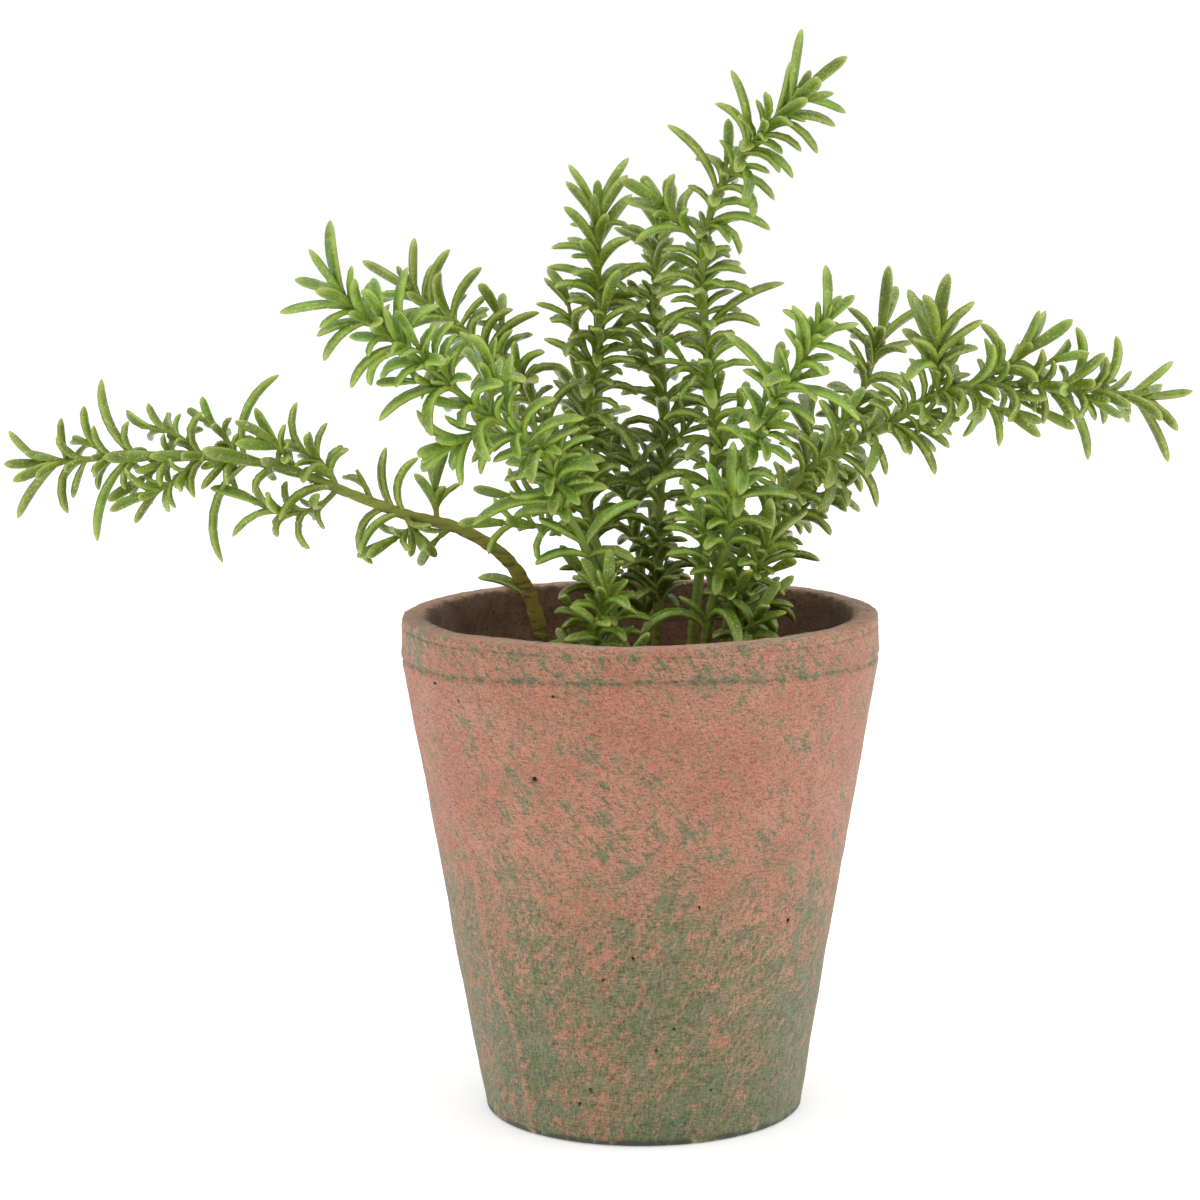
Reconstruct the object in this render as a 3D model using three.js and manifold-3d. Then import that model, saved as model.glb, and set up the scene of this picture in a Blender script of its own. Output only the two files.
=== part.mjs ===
// A rosemary plant in a tapered clay pot: the pot, the soil in it, and leafy stems that stand in holes in the soil.
// Millimetres, +Z up. The origin is the middle of the pot's foot, and -Y is the front.
import * as THREE from "three";
import { mergeVertices } from "three/addons/utils/BufferGeometryUtils.js";
import Module from "manifold-3d";

const wasm = await Module();
wasm.setup();

// ---- Driving dimensions ----

const POT = {
  height: 127.5,
  rimRadius: 60,
  collarHeight: 11, // the upright band below the lip
  footRadius: 40.5,
  footRound: 2,
  lipRound: 1.6,
  wall: 6.6,
  floor: 9,
  sides: 40,
};
const SOIL = {
  top: 104,
  gap: 0.3, // to the pot's floor and wall
  lump: 1.2, // how far the crumbled surface rises and dips
  rings: 3,
  sides: 24,
  holeGap: 0.35, // between a stem and the wall of its hole
  holeSides: 8,
};
const STEM_ROOT = 88.5; // the height of the lower end of each stem
const CLEAR = 0.45; // free space kept between two stems and their leaves
const TOUCH = 0.05; // free space kept between the outer parts of two needles of the same stem
const STEM = { sides: 5, bendEvery: 10, whorlNeedles: 4, budTurns: [40, 220] };
const SPRIG = { radii: [0.9, 0.5], sides: 3, bendEvery: 5, whorlNeedles: 3, budTurns: [40] };
const NEEDLE_SAMPLES = 6; // places along a needle that are tested against what is already there
const OUTER_PART = 0.45; // the part of a needle nearer its root than this may touch its neighbours
// Where a needle is given its width, as shares of its length. From there to the next, and to both ends, it is straight.
const SHORT_NEEDLE_BENDS = [0.56];
const LONG_NEEDLE_BENDS = [0.42, 0.77];
const LONG_NEEDLE = 14; // needles longer than this have the two bends
const NEEDLE_SIDES = 3;

// Whorls of needles are counted from the tip of a stem downwards. A size is a share of the stem's needle length.
const WHORL_SIZES = [1, 0.75, 0.92, 0.7, 0.98, 0.8];
const TIP_LEAN = 24; // degrees between a needle's root and the stem in the uppermost whorl, and then lower down
const LOW_LEAN = 42;
const TIP_CURL = 26; // degrees that a needle bends away from the stem along its length
const LOW_CURL = 72;
const WHORLS_TO_OPEN = 4; // whorls from the tip until the needles stand fully open
const TRY_TURNS = [0, 22, -22, 44, -44];
const TRY_SIZES = [1, 0.8, 0.62];

// A stem's route runs from the soil's surface to its tip. Its whorls reach down to leafyTo, a distance back from
// the tip, gap apart. Long leaves are [back, turn, length, lean, curl] and sprigs are the same and their needle
// length. The turn is taken round the stem: 0 is to the right of a stem that rises, 90 behind it, 180 left of it.
const STEMS = [
  {
    name: "stem_left_long",
    seed: 11,
    radii: [2.1, 0.8],
    route: [[-22, -5, 104], [-24, -6, 114], [-26, -6, 124], [-30, -6, 135], [-36, -7, 143],
      [-46, -8, 149.5], [-58, -9, 153.5], [-73, -10, 159.5], [-88, -10, 165.5], [-106, -9, 168.5],
      [-125, -6, 168.5], [-150, -2, 166.5]],
    needle: 9.5,
    gap: 14,
    leafyTo: 70,
    leaves: [[1, 290, 10, 8, 5], [1, 0, 12, 33, 28], [5, 190, 18, 31, 35], [7, 5, 11, 75, 25],
      [8, 190, 14, 48, 70], [12, 172, 11, 50, 25], [25, 2, 22, 38, 62], [24, 190, 24, 35, 60],
      [53, 10, 25, 60, 85], [54, 187, 29, 38, 92], [49, 215, 11, 55, 10], [58, 280, 17, 17, 20],
      [76, 210, 18, 16, 80], [95, 12, 17, 30, 110], [92, 22, 17, 34, 60], [94, 200, 16, 23, 80],
      [90, 162, 20, 32, 130], [135, 152, 16, 25, 60]],
    sprigs: [[41, 8, 17, 53, -60, 8], [50, 27, 15, 72, -60, 6.5], [77, 6, 20, 48, -70, 10],
      [41, 200, 19, 63, -50, 8], [77, 194, 25, 78, -100, 8.5], [95, 235, 9, 112, 40, 7.5],
      [103, 20, 11, 75, 0, 8]],
  },
  {
    name: "stem_left_front",
    seed: 23,
    radii: [1.7, 0.8],
    route: [[-8, -14, 104], [-9, -14, 118], [-10, -14, 128.5], [-10.5, -15, 137.5], [-13, -16, 144],
      [-15.5, -18, 150], [-19, -20, 156.5], [-20.5, -23, 163], [-23, -26, 169], [-26.5, -28, 173.5],
      [-32, -30, 177.5], [-39, -32, 182], [-48, -36, 190], [-56, -39, 197], [-65, -41, 204],
      [-71, -43, 211]],
    needle: 12,
    gap: 10.5,
    leafyTo: 86,
    leaves: [[1, 35, 18, 22, 30], [1.5, 0, 14, 0, 8], [1, 135, 13, 42, 12], [4, 180, 17, 46, 22],
      [6, 210, 11, 48, 45], [10, 190, 15, 47, 68], [10, 45, 11, 49, 30], [20, 192, 17, 37, 75],
      [17, 130, 12, 46, 10], [20, 320, 12, 27, 15], [21, 16, 20, 31, 50], [37, 180, 21, 27, 72],
      [73, 190, 14, 30, 70], [73, 2, 12, 56, 60], [74, 210, 14, 92, -40], [74, 295, 10, 90, 30],
      [66, 183, 14, 20, 80], [64, 345, 12, 65, 50], [60, 350, 15, 80, 70], [55, 30, 19, 44, 40],
      [80, 188, 24, 47, 70], [96, 198, 15, 34, 70], [96, 328, 14, 60, 95], [92, 178, 13, 26, 20],
      [93, 16, 19, 44, 70]],
    sprigs: [[50, 186, 14, 66, -20, 12], [48, 353, 13, 66, -15, 12], [38, 344, 16, 20, -20, 8]],
  },
  {
    name: "stem_left_back",
    seed: 37,
    radii: [1.6, 0.8],
    route: [[-7, 10, 104], [-6, 9, 118], [-8, 10, 134], [-13, 11, 149], [-18, 13, 162], [-23, 16, 173.5],
      [-29.5, 19, 182], [-37.5, 22, 190], [-46.5, 25, 199], [-54, 28, 203], [-59, 30, 208]],
    needle: 12,
    gap: 10,
    leafyTo: 84,
    leaves: [[1.5, 205, 15, 14, 8], [3, 3, 15, 31, 18], [2.5, 290, 8, 49, 5], [6, 15, 11, 45, 30],
      [9, 352, 17, 52, 60], [15, 8, 16, 60, 50], [18, 17, 11, 70, 30], [2, 168, 13, 48, 30],
      [28, 0, 18, 65, 62], [24, 187, 22, 53, 80], [40, 12, 14, 60, 100]],
    sprigs: [[72, 193, 20, 80, -20, 8], [57, 207, 18, 80, -30, 9], [34, 15, 16, 50, -20, 9]],
  },
  {
    name: "stem_centre_left",
    seed: 41,
    radii: [1.6, 0.85],
    route: [[-6, 20, 104], [-7, 19, 116], [-10, 18, 128], [-12, 18, 140], [-13, 18, 156], [-13, 18, 174],
      [-11, 18, 188], [-10, 18, 204], [-10, 18, 216], [-10, 18, 228]],
    needle: 12,
    gap: 10,
    leafyTo: 104,
    leaves: [[2, 180, 15, 16, 25], [3.5, 190, 14, 30, 22], [2, 7, 17, 15, 28], [4, 343, 16, 24, 28],
      [6.5, 164, 8, 41, 60], [5.5, 346, 9, 40, 85], [12.5, 190, 13, 41, 72], [20, 167, 15, 37, 65],
      [23, 193, 15, 36, 80], [23.5, 355, 17, 25, 55], [43, 188, 17, 30, 60], [54, 162, 14, 26, 40],
      [55, 335, 19, 65, 110]],
    sprigs: [[40, 198, 21, 40, -25, 9.5], [40, 279, 19, 38, -35, 9.5]],
  },
  {
    name: "stem_tall",
    seed: 53,
    radii: [1.8, 0.85],
    route: [[12, 3, 104], [13, 4, 118], [15, 5, 135], [18, 6, 152], [19, 6, 170], [18, 6, 185],
      [17, 6, 198], [16, 5, 209], [17, 4, 221], [20, 2, 232], [26, 0, 241], [33, -2, 249], [42, -4.5, 258]],
    needle: 11.5,
    gap: 10,
    leafyTo: 136,
    leaves: [[5.5, 167, 18, 44, -10], [2, 50, 14, 5, 10], [4, 6, 13, 42, 40], [11, 351, 14, 55, 60],
      [12, 285, 13, 23, 20], [21, 179, 20, 35, 35], [21, 1, 14, 50, 70], [29, 8, 14, 52, 70],
      [26, 311, 14, 64, 110], [35, 180, 22, 32, 55], [43, 354, 17, 40, 85], [43, 5, 13, 68, 110],
      [45, 305, 12, 31, 120], [56, 0, 12, 48, 75], [60, 346, 14, 55, 75], [70, 9, 24, 40, 50],
      [61, 194, 13, 47, 80], [66, 22, 11, 65, 60], [53, 313, 11, 30, 60], [110, 193, 20, 39, 110],
      [65, 199, 13, 60, 90]],
    sprigs: [[49, 175, 17, 52, 0, 11]],
  },
  {
    name: "stem_centre_back",
    seed: 67,
    radii: [1.6, 0.8],
    route: [[4, 14, 104], [4, 15, 116], [5, 17, 130], [5, 20, 143], [6, 23, 158], [7, 26, 173],
      [6, 29, 192], [5, 31, 204], [5, 33, 216], [7, 34, 222]],
    needle: 12,
    gap: 10.5,
    leafyTo: 98,
    leaves: [[7, 181, 13, 46, 30], [32, 165, 13, 25, 30], [30, 15, 12, 31, 30], [65, 154, 12, 25, 20],
      [94, 187, 10, 38, 30], [94, 325, 10, 20, 70]],
    sprigs: [[50, 20, 15, 45, -20, 9]],
  },
  {
    name: "stem_right_front",
    seed: 71,
    radii: [1.8, 0.85],
    route: [[16, -10, 104], [16, -10, 120], [18, -12, 132], [20, -14, 141], [22, -16, 151], [24, -19, 161],
      [27, -22, 170], [30, -25, 178], [34, -28, 185], [38, -30, 191], [41, -32, 197], [45, -34, 203]],
    needle: 11,
    gap: 10.5,
    leafyTo: 78,
    leaves: [[1.5, 158, 14, 24, 25], [1.5, 60, 10, 15, 25], [5, 346, 11, 29, 20], [7, 176, 11, 42, 65],
      [12, 148, 9, 43, 45], [8, 348, 13, 50, 60], [24, 176, 21, 45, 50], [19, 199, 10, 32, 30],
      [22, 356, 22, 36, 80], [89, 195, 22, 25, 150], [86, 354, 20, 20, 140], [86, 199, 11, 41, 30],
      [71, 289, 12, 81, 60], [56, 210, 19, 16, -10], [53, 20, 17, 56, 60]],
    sprigs: [[80, 183, 25, 20, 0, 8]],
  },
  {
    name: "stem_right_long",
    seed: 83,
    radii: [1.9, 0.75],
    route: [[22, 0, 104], [21.5, 0, 118], [23, 0, 130], [26, 0, 142], [31, -1, 151], [38, -2, 159],
      [46, -4, 166], [55, -6, 171], [62, -8, 175], [69, -9, 180], [76, -10, 183.5], [86, -10, 185],
      [96, -9, 184.5], [107, -7, 184], [116, -5, 182.5], [126, -4, 180.5]],
    needle: 10.5,
    gap: 10.5,
    leafyTo: 118,
    leaves: [[1, 195, 13, 16, 6], [4, 173, 14, 43, 10], [1.5, 327, 13, 15, 40], [3, 356, 19, 36, 28],
      [12, 185, 15, 50, 70], [22, 216, 14, 40, 25], [20, 173, 16, 46, 80], [25, 354, 22, 31, 60],
      [20, 314, 12, 25, 120], [28, 350, 11, 65, 50], [52, 318, 15, 57, 120], [63, 191, 12, 65, 70],
      [60, 156, 10, 55, 50], [70, 21, 16, 33, 50], [67, 352, 19, 50, 60], [69, 342, 15, 50, 50],
      [72, 311, 13, 85, 60], [75, 9, 12, 55, 70], [83, 7, 19, 46, 75], [90, 321, 16, 38, 150]],
    sprigs: [[53, 201, 17, 77, -15, 14], [47, 342, 14, 54, -30, 9], [45, 159, 19, 20, 10, 10]],
  },
  {
    name: "stem_right_back",
    seed: 97,
    radii: [1.6, 0.8],
    route: [[22, 12, 104], [24, 13, 116], [28, 15, 128], [33, 17, 140], [41, 20, 152], [49, 23, 164],
      [54, 26, 173], [59, 29, 182], [62, 31, 191], [64, 33, 198]],
    needle: 12,
    gap: 10,
    leafyTo: 92,
    leaves: [[10, 173, 13, 30, 60], [15, 163, 11, 36, 20], [13, 225, 9, 30, 15]],
    sprigs: [[44, 180, 15, 45, -10, 10], [52, 20, 14, 50, -20, 9]],
  },
  {
    name: "stem_back",
    seed: 127,
    radii: [1.5, 0.8],
    route: [[3, 25, 104], [2, 28, 120], [0, 33, 138], [-4, 40, 154], [-9, 48, 168], [-15, 56, 180]],
    needle: 12,
    gap: 10.5,
    leafyTo: 74,
    leaves: [],
    sprigs: [[40, 0, 16, 50, -20, 9], [30, 180, 14, 50, -20, 9]],
  },
  {
    name: "sprig_front_left",
    seed: 103,
    radii: [1.3, 0.8],
    route: [[-13, -21, 104], [-11, -21, 116], [-10.5, -21, 123], [-10, -22, 129], [-9, -24, 134],
      [-8, -26, 138]],
    needle: 8.5,
    gap: 7.5,
    leafyTo: 26,
    leaves: [],
    sprigs: [[14, 180, 13, 60, -30, 6.5], [22, 195, 12, 60, -30, 6], [13, 0, 10, 55, -20, 6.5],
      [20, 345, 12, 55, -20, 6]],
  },
  {
    name: "sprig_front_right",
    seed: 109,
    radii: [1.3, 0.75],
    route: [[27, -12, 104], [25, -12, 115], [24.5, -12, 125], [27, -12, 135.5], [30, -13, 142.5],
      [31.5, -13, 148]],
    needle: 9.5,
    gap: 8,
    leafyTo: 32,
    leaves: [[22, 20, 12, 60, 90]],
    sprigs: [[20, 0, 10, 55, -20, 7], [12, 350, 8, 50, -20, 7]],
  },
];

// ---- Small helpers ----

const BACKWARD = new THREE.Vector3(0, 1, 0);
const radians = THREE.MathUtils.degToRad;
const mix = THREE.MathUtils.lerp;

// Seeded draws from 0 to 1.
function makeDraws(seed) {
  let state = seed;
  return () => {
    state = (Math.imul(state, 1664525) + 1013904223) >>> 0;
    return state / 2 ** 32;
  };
}

function solidOf(geometry) {
  geometry.deleteAttribute("normal");
  geometry.deleteAttribute("uv");
  const merged = mergeVertices(geometry, 1e-4);
  const vertProperties = merged.attributes.position.array;
  const triVerts = new Uint32Array(merged.index.array);
  return new wasm.Manifold(new wasm.Mesh({ numProp: 3, vertProperties, triVerts }));
}

function geometryOf(solid) {
  const mesh = solid.getMesh();
  return new THREE.BufferGeometry()
    .setAttribute("position", new THREE.BufferAttribute(mesh.vertProperties, 3))
    .setIndex(new THREE.BufferAttribute(mesh.triVerts, 1));
}

// The pot's wall tapers from the foot to the collar, with the same thickness all the way.
function innerRadius(z) {
  const taper = (POT.rimRadius - POT.footRadius) / (POT.height - POT.collarHeight);
  return Math.min(POT.rimRadius, POT.footRadius + taper * z) - POT.wall;
}

// ---- Where everything on a stem goes ----

// A smooth line through the points, measured by its own length.
function makePath(points) {
  const stepsBetweenPoints = 8;
  const curve = new THREE.CatmullRomCurve3(points, false, "catmullrom", 0.5);
  const line = curve.getPoints((points.length - 1) * stepsBetweenPoints);
  const along = [0];
  for (let i = 1; i < line.length; i += 1) along.push(along[i - 1] + line[i].distanceTo(line[i - 1]));
  const length = along[along.length - 1];
  const pointAt = (distance) => {
    let i = 1;
    while (i < line.length - 1 && along[i] < distance) i += 1;
    return line[i - 1].clone().lerp(line[i], (distance - along[i - 1]) / (along[i] - along[i - 1]));
  };
  const frameAt = (distance) => {
    const tangent = pointAt(distance + 1).sub(pointAt(distance - 1)).normalize();
    const right = BACKWARD.clone().cross(tangent).normalize();
    return { at: pointAt(distance), tangent, right, back: tangent.clone().cross(right) };
  };
  return { length, pointAt, frameAt };
}

// The middle line of a needle or sprig: it leaves its stem at the lean, and bends further away by the curl.
function makeArc(frame, { turn, lean, curl, length, sway = 0 }) {
  const away = frame.right.clone().multiplyScalar(Math.cos(radians(turn)))
    .addScaledVector(frame.back, Math.sin(radians(turn)));
  const side = frame.tangent.clone().cross(away);
  const start = radians(lean);
  const bend = radians(Math.abs(curl) < 1 ? 1 : curl);
  const pointAt = (share) => {
    const angle = start + bend * share;
    return frame.at.clone()
      .addScaledVector(frame.tangent, (length * (Math.sin(angle) - Math.sin(start))) / bend)
      .addScaledVector(away, (length * (Math.cos(start) - Math.cos(angle))) / bend)
      .addScaledVector(side, sway * length * share * share);
  };
  const topAt = (share) => {
    const angle = start + bend * share;
    return frame.tangent.clone().multiplyScalar(Math.sin(angle)).addScaledVector(away, -Math.cos(angle));
  };
  return { pointAt, topAt, side };
}

const needleWidth = (length) => Math.min(3.7, 1.3 + 0.12 * length);

// A needle's width as a share of its widest: a narrow root, a wide middle and a blunt tip.
function needleShape(share) {
  const swell = 0.42 + 0.58 * Math.sin((Math.min(1, share / 0.55) * Math.PI) / 2);
  const tip = Math.max(0, (share - 0.55) / 0.45);
  return swell * Math.sqrt(Math.max(0, 1 - tip ** 2.4));
}

// Points that stems and needles already fill, each with its radius and its stem's number.
const taken = [];

function isFree(samples, stemNumber) {
  const clearOfPot = ({ at, radius }) => {
    const reach = radius + CLEAR;
    if (at.z > POT.height + reach) return true;
    return at.z > SOIL.top + SOIL.lump + reach && Math.hypot(at.x, at.y) + reach < innerRadius(at.z);
  };
  const clearOf = (sample, other) => {
    const sameStem = other.stemNumber === stemNumber;
    if (sameStem && !(sample.outer && other.outer)) return true;
    return other.at.distanceTo(sample.at) > other.radius + sample.radius + (sameStem ? TOUCH : CLEAR);
  };
  return samples.every((sample) => clearOfPot(sample) && taken.every((other) => clearOf(sample, other)));
}

// Turns or shortens a needle or sprig until it has room, or gives it up.
function placeArc(frame, stemNumber, wish, count, radiusAt) {
  for (const size of TRY_SIZES) {
    for (const turned of TRY_TURNS) {
      const length = wish.length * size;
      const arc = makeArc(frame, { ...wish, length, turn: wish.turn + turned });
      const samples = Array.from({ length: count }, (_, i) => {
        const share = (i + 1) / count;
        return { at: arc.pointAt(share), radius: radiusAt(share, length), stemNumber, outer: share > OUTER_PART };
      });
      if (isFree(samples, stemNumber)) {
        taken.push(...samples);
        return { arc, length };
      }
    }
  }
  return null;
}

function addNeedle(plant, path, back, wish) {
  const radiusAt = (share, length) => Math.max(0.5, (needleWidth(length) / 2) * needleShape(share));
  const placed = placeArc(path.frameAt(path.length - back), plant.number, wish, NEEDLE_SAMPLES, radiusAt);
  if (placed) plant.needles.push(placed);
}

function addWhorls(plant, { path, needle, gap, leafyTo }, { whorlNeedles, budTurns }, draws) {
  for (const turn of budTurns) addNeedle(plant, path, 1, { turn, lean: 6, curl: 12, length: needle * 0.5 });
  let back = 1.5;
  for (let whorl = 0; back < leafyTo; whorl += 1) {
    const open = Math.min(1, whorl / WHORLS_TO_OPEN);
    const size = needle * WHORL_SIZES[whorl % WHORL_SIZES.length];
    for (let i = 0; i < whorlNeedles; i += 1) {
      addNeedle(plant, path, back, {
        turn: 45 * (whorl % 2) + (360 * i) / whorlNeedles + mix(-14, 14, draws()),
        length: size * mix(0.86, 1.14, draws()),
        lean: mix(TIP_LEAN, LOW_LEAN, open) + mix(-8, 8, draws()),
        curl: mix(TIP_CURL, LOW_CURL, open) + mix(-16, 20, draws()),
        sway: mix(-0.14, 0.14, draws()),
      });
    }
    back += gap * mix(0.7, 1, open);
  }
}

function addSprig(plant, [back, turn, length, lean, curl, needle]) {
  const frame = plant.path.frameAt(plant.path.length - back);
  const placed = placeArc(frame, plant.number, { turn, length, lean, curl }, 8, () => SPRIG.radii[0]);
  if (!placed) return;
  const path = makePath([0, 0.25, 0.5, 0.75, 1].map(placed.arc.pointAt));
  plant.sprigs.push({ path, needle, gap: 4 + needle * 0.45, leafyTo: placed.length * 0.7 });
}

// The shoots and long leaves of every stem are placed before the whorls, which fill the room left over.
function growPlants() {
  const plants = STEMS.map((stem, number) => {
    const points = stem.route.map((point) => new THREE.Vector3(...point));
    points.unshift(new THREE.Vector3(points[0].x, points[0].y, STEM_ROOT));
    const path = makePath(points);
    const count = Math.ceil(path.length / 2);
    for (let i = 0; i <= count; i += 1) {
      const at = path.pointAt((path.length * i) / count);
      taken.push({ at, radius: mix(...stem.radii, i / count), stemNumber: number });
    }
    return { ...stem, number, path, sprigs: [], needles: [] };
  });
  for (const plant of plants) STEMS[plant.number].sprigs.forEach((sprig) => addSprig(plant, sprig));
  for (const plant of plants) {
    for (const [back, turn, length, lean, curl] of plant.leaves) {
      addNeedle(plant, plant.path, back, { turn, length, lean, curl });
    }
  }
  for (const plant of plants) {
    const draws = makeDraws(plant.seed);
    addWhorls(plant, plant, STEM, draws);
    plant.sprigs.forEach((sprig) => addWhorls(plant, sprig, SPRIG, draws));
  }
  return plants;
}

// ---- Solids ----

// Moves each vertex of an upright solid, 1 high, to where placeAt puts it.
function reshape(geometry, placeAt) {
  const position = geometry.attributes.position;
  for (let i = 0; i < position.count; i += 1) {
    const moved = placeAt(position.getX(i), position.getZ(i), position.getY(i) + 0.5);
    position.setXYZ(i, moved.x, moved.y, moved.z);
  }
  return geometry;
}

function shootSolid({ path }, { radii, sides, bendEvery }) {
  const lengths = Math.max(2, Math.round(path.length / bendEvery));
  return solidOf(reshape(new THREE.CylinderGeometry(1, 1, 1, sides, lengths), (x, z, share) => {
    const { at, right, back } = path.frameAt(path.length * share);
    const radius = mix(...radii, share);
    return at.addScaledVector(right, x * radius).addScaledVector(back, -z * radius);
  }));
}

// A bent spindle with its flat side up and its keel below. Its root is the point on the middle line of the stem.
function needleSolid({ arc, length }) {
  const bends = length > LONG_NEEDLE ? LONG_NEEDLE_BENDS : SHORT_NEEDLE_BENDS;
  const widePlaces = bends.map((share) => new THREE.Vector2(1, share - 0.5));
  const profile = [new THREE.Vector2(0, -0.5), ...widePlaces, new THREE.Vector2(0, 0.5)];
  const half = needleWidth(length) / 2;
  return solidOf(reshape(new THREE.LatheGeometry(profile, NEEDLE_SIDES), (x, z, share) => {
    const spread = half * needleShape(share);
    const middle = arc.pointAt(share).addScaledVector(arc.side, x * spread * 1.15);
    return middle.addScaledVector(arc.topAt(share), -z * spread * 0.85);
  }));
}

function leafyStem(plant) {
  const stem = shootSolid(plant, { ...STEM, radii: plant.radii });
  const shoots = plant.sprigs.map((sprig) => shootSolid(sprig, SPRIG));
  return geometryOf(wasm.Manifold.union([stem, ...shoots, ...plant.needles.map(needleSolid)]));
}

function roundedEdge(x, y, radius, from, to) {
  const steps = 2;
  return Array.from({ length: steps + 1 }, (_, i) => {
    const angle = radians(mix(from, to, i / steps));
    return new THREE.Vector2(x + radius * Math.cos(angle), y + radius * Math.sin(angle));
  });
}

function potGeometry() {
  const { height, rimRadius, collarHeight, footRadius, footRound, lipRound, wall, floor, sides } = POT;
  const profile = [
    new THREE.Vector2(0, 0),
    ...roundedEdge(footRadius - footRound, footRound, footRound, -90, -10),
    new THREE.Vector2(rimRadius, height - collarHeight),
    ...roundedEdge(rimRadius - lipRound, height - lipRound, lipRound, 0, 90),
    ...roundedEdge(rimRadius - wall + lipRound, height - lipRound, lipRound, 90, 180),
    new THREE.Vector2(innerRadius(height - collarHeight), height - collarHeight),
    new THREE.Vector2(innerRadius(floor), floor),
    new THREE.Vector2(0, floor),
  ];
  return new THREE.LatheGeometry(profile, sides).rotateX(Math.PI / 2);
}

function soilLump(x, y) {
  return SOIL.lump * (0.6 * Math.sin(x * 0.35 + 1) * Math.cos(y * 0.3) + 0.4 * Math.sin(x * 0.16 - y * 0.21));
}

function soilGeometry() {
  const bottom = POT.floor + SOIL.gap;
  const edge = innerRadius(SOIL.top) - SOIL.gap;
  const profile = [new THREE.Vector2(0, bottom), new THREE.Vector2(innerRadius(bottom) - SOIL.gap, bottom)];
  for (let ring = SOIL.rings; ring >= 0; ring -= 1) {
    profile.push(new THREE.Vector2((edge * ring) / SOIL.rings, SOIL.top));
  }
  const geometry = new THREE.LatheGeometry(profile, SOIL.sides).rotateX(Math.PI / 2);
  const position = geometry.attributes.position;
  for (let i = 0; i < position.count; i += 1) {
    const [x, y, z] = [position.getX(i), position.getY(i), position.getZ(i)];
    if (z > SOIL.top - 0.01 && Math.hypot(x, y) < edge - 0.01) position.setZ(i, z + soilLump(x, y));
  }
  const holes = STEMS.map(({ route: [[x, y]], radii }) => {
    const depth = SOIL.top + 10 - STEM_ROOT;
    const hole = new THREE.CylinderGeometry(radii[0] + SOIL.holeGap, radii[0] + SOIL.holeGap, depth, SOIL.holeSides);
    return solidOf(hole.rotateX(Math.PI / 2).translate(x, y, STEM_ROOT - SOIL.gap + depth / 2));
  });
  return geometryOf(solidOf(geometry).subtract(wasm.Manifold.union(holes)));
}

// ---- The plant in its pot ----

const CLAY = new THREE.MeshStandardMaterial({ color: 0xc28d78, roughness: 0.92, metalness: 0 });
const EARTH = new THREE.MeshStandardMaterial({ color: 0x38281f, roughness: 1, metalness: 0 });
const LEAF = new THREE.MeshStandardMaterial({ color: 0x5f8a3a, roughness: 0.55, metalness: 0 });

function named(name, geometry, material) {
  const mesh = new THREE.Mesh(geometry, material);
  mesh.name = name;
  return mesh;
}

const pottedRosemary = new THREE.Group();
pottedRosemary.add(named("pot", potGeometry(), CLAY), named("soil", soilGeometry(), EARTH));
for (const plant of growPlants()) pottedRosemary.add(named(plant.name, leafyStem(plant), LEAF));

export default pottedRosemary;
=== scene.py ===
# %% [markdown]
# # A potted rosemary
#
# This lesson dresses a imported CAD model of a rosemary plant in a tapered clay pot. The CAD model is the
# fixed frame: it says where each stem, the pot and the soil are. Blender gives each of them its fine shape
# and finish. Lengths are in metres, +Z is up, the origin is the middle of the pot's foot, and -Y faces the
# camera.

# %% Load the frame
import math
import bmesh
import bpy
import numpy as np
from mathutils import Matrix, Vector


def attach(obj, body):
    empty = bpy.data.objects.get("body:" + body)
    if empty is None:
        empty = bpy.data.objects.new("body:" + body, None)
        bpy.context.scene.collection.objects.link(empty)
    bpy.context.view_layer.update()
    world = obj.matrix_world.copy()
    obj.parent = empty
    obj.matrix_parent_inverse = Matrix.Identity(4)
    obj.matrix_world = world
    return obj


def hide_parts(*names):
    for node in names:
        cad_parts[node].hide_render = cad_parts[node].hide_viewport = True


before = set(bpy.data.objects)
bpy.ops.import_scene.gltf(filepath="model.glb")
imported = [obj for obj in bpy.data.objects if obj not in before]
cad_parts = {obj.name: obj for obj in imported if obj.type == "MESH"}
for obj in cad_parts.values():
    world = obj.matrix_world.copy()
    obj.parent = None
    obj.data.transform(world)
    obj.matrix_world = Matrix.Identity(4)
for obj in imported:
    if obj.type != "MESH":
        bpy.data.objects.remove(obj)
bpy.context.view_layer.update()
MM = 0.001
print("CAD nodes:", sorted(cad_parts))

# %% [markdown]
# ## The camera
#
# The photograph was taken from a little above the rim, with a long lens. The rim and the foot of a round pot
# show as two ellipses, and how much flatter the upper one is gives the camera's height and distance. Fitting
# those two ellipses gave the numbers below, so the pot in the render lies on the pot in the photograph.

# %% Set up the camera
CAMERA_PLACE = Vector((-10.15, -842.7, 254.5)) * MM
CAMERA_PITCH = math.radians(-8.38)
CAMERA_ROLL = math.radians(-0.5)
CAMERA_LENS = 101.2
SENSOR_WIDTH = 36
NEAREST, FURTHEST = 0.05, 20
PLANT_MIDDLE = Vector((0, 0, 0.13))


def put_in_scene(name, data):
    """A new object with this data, in the scene."""
    piece = bpy.data.objects.new(name, data)
    bpy.context.scene.collection.objects.link(piece)
    return piece


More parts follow.
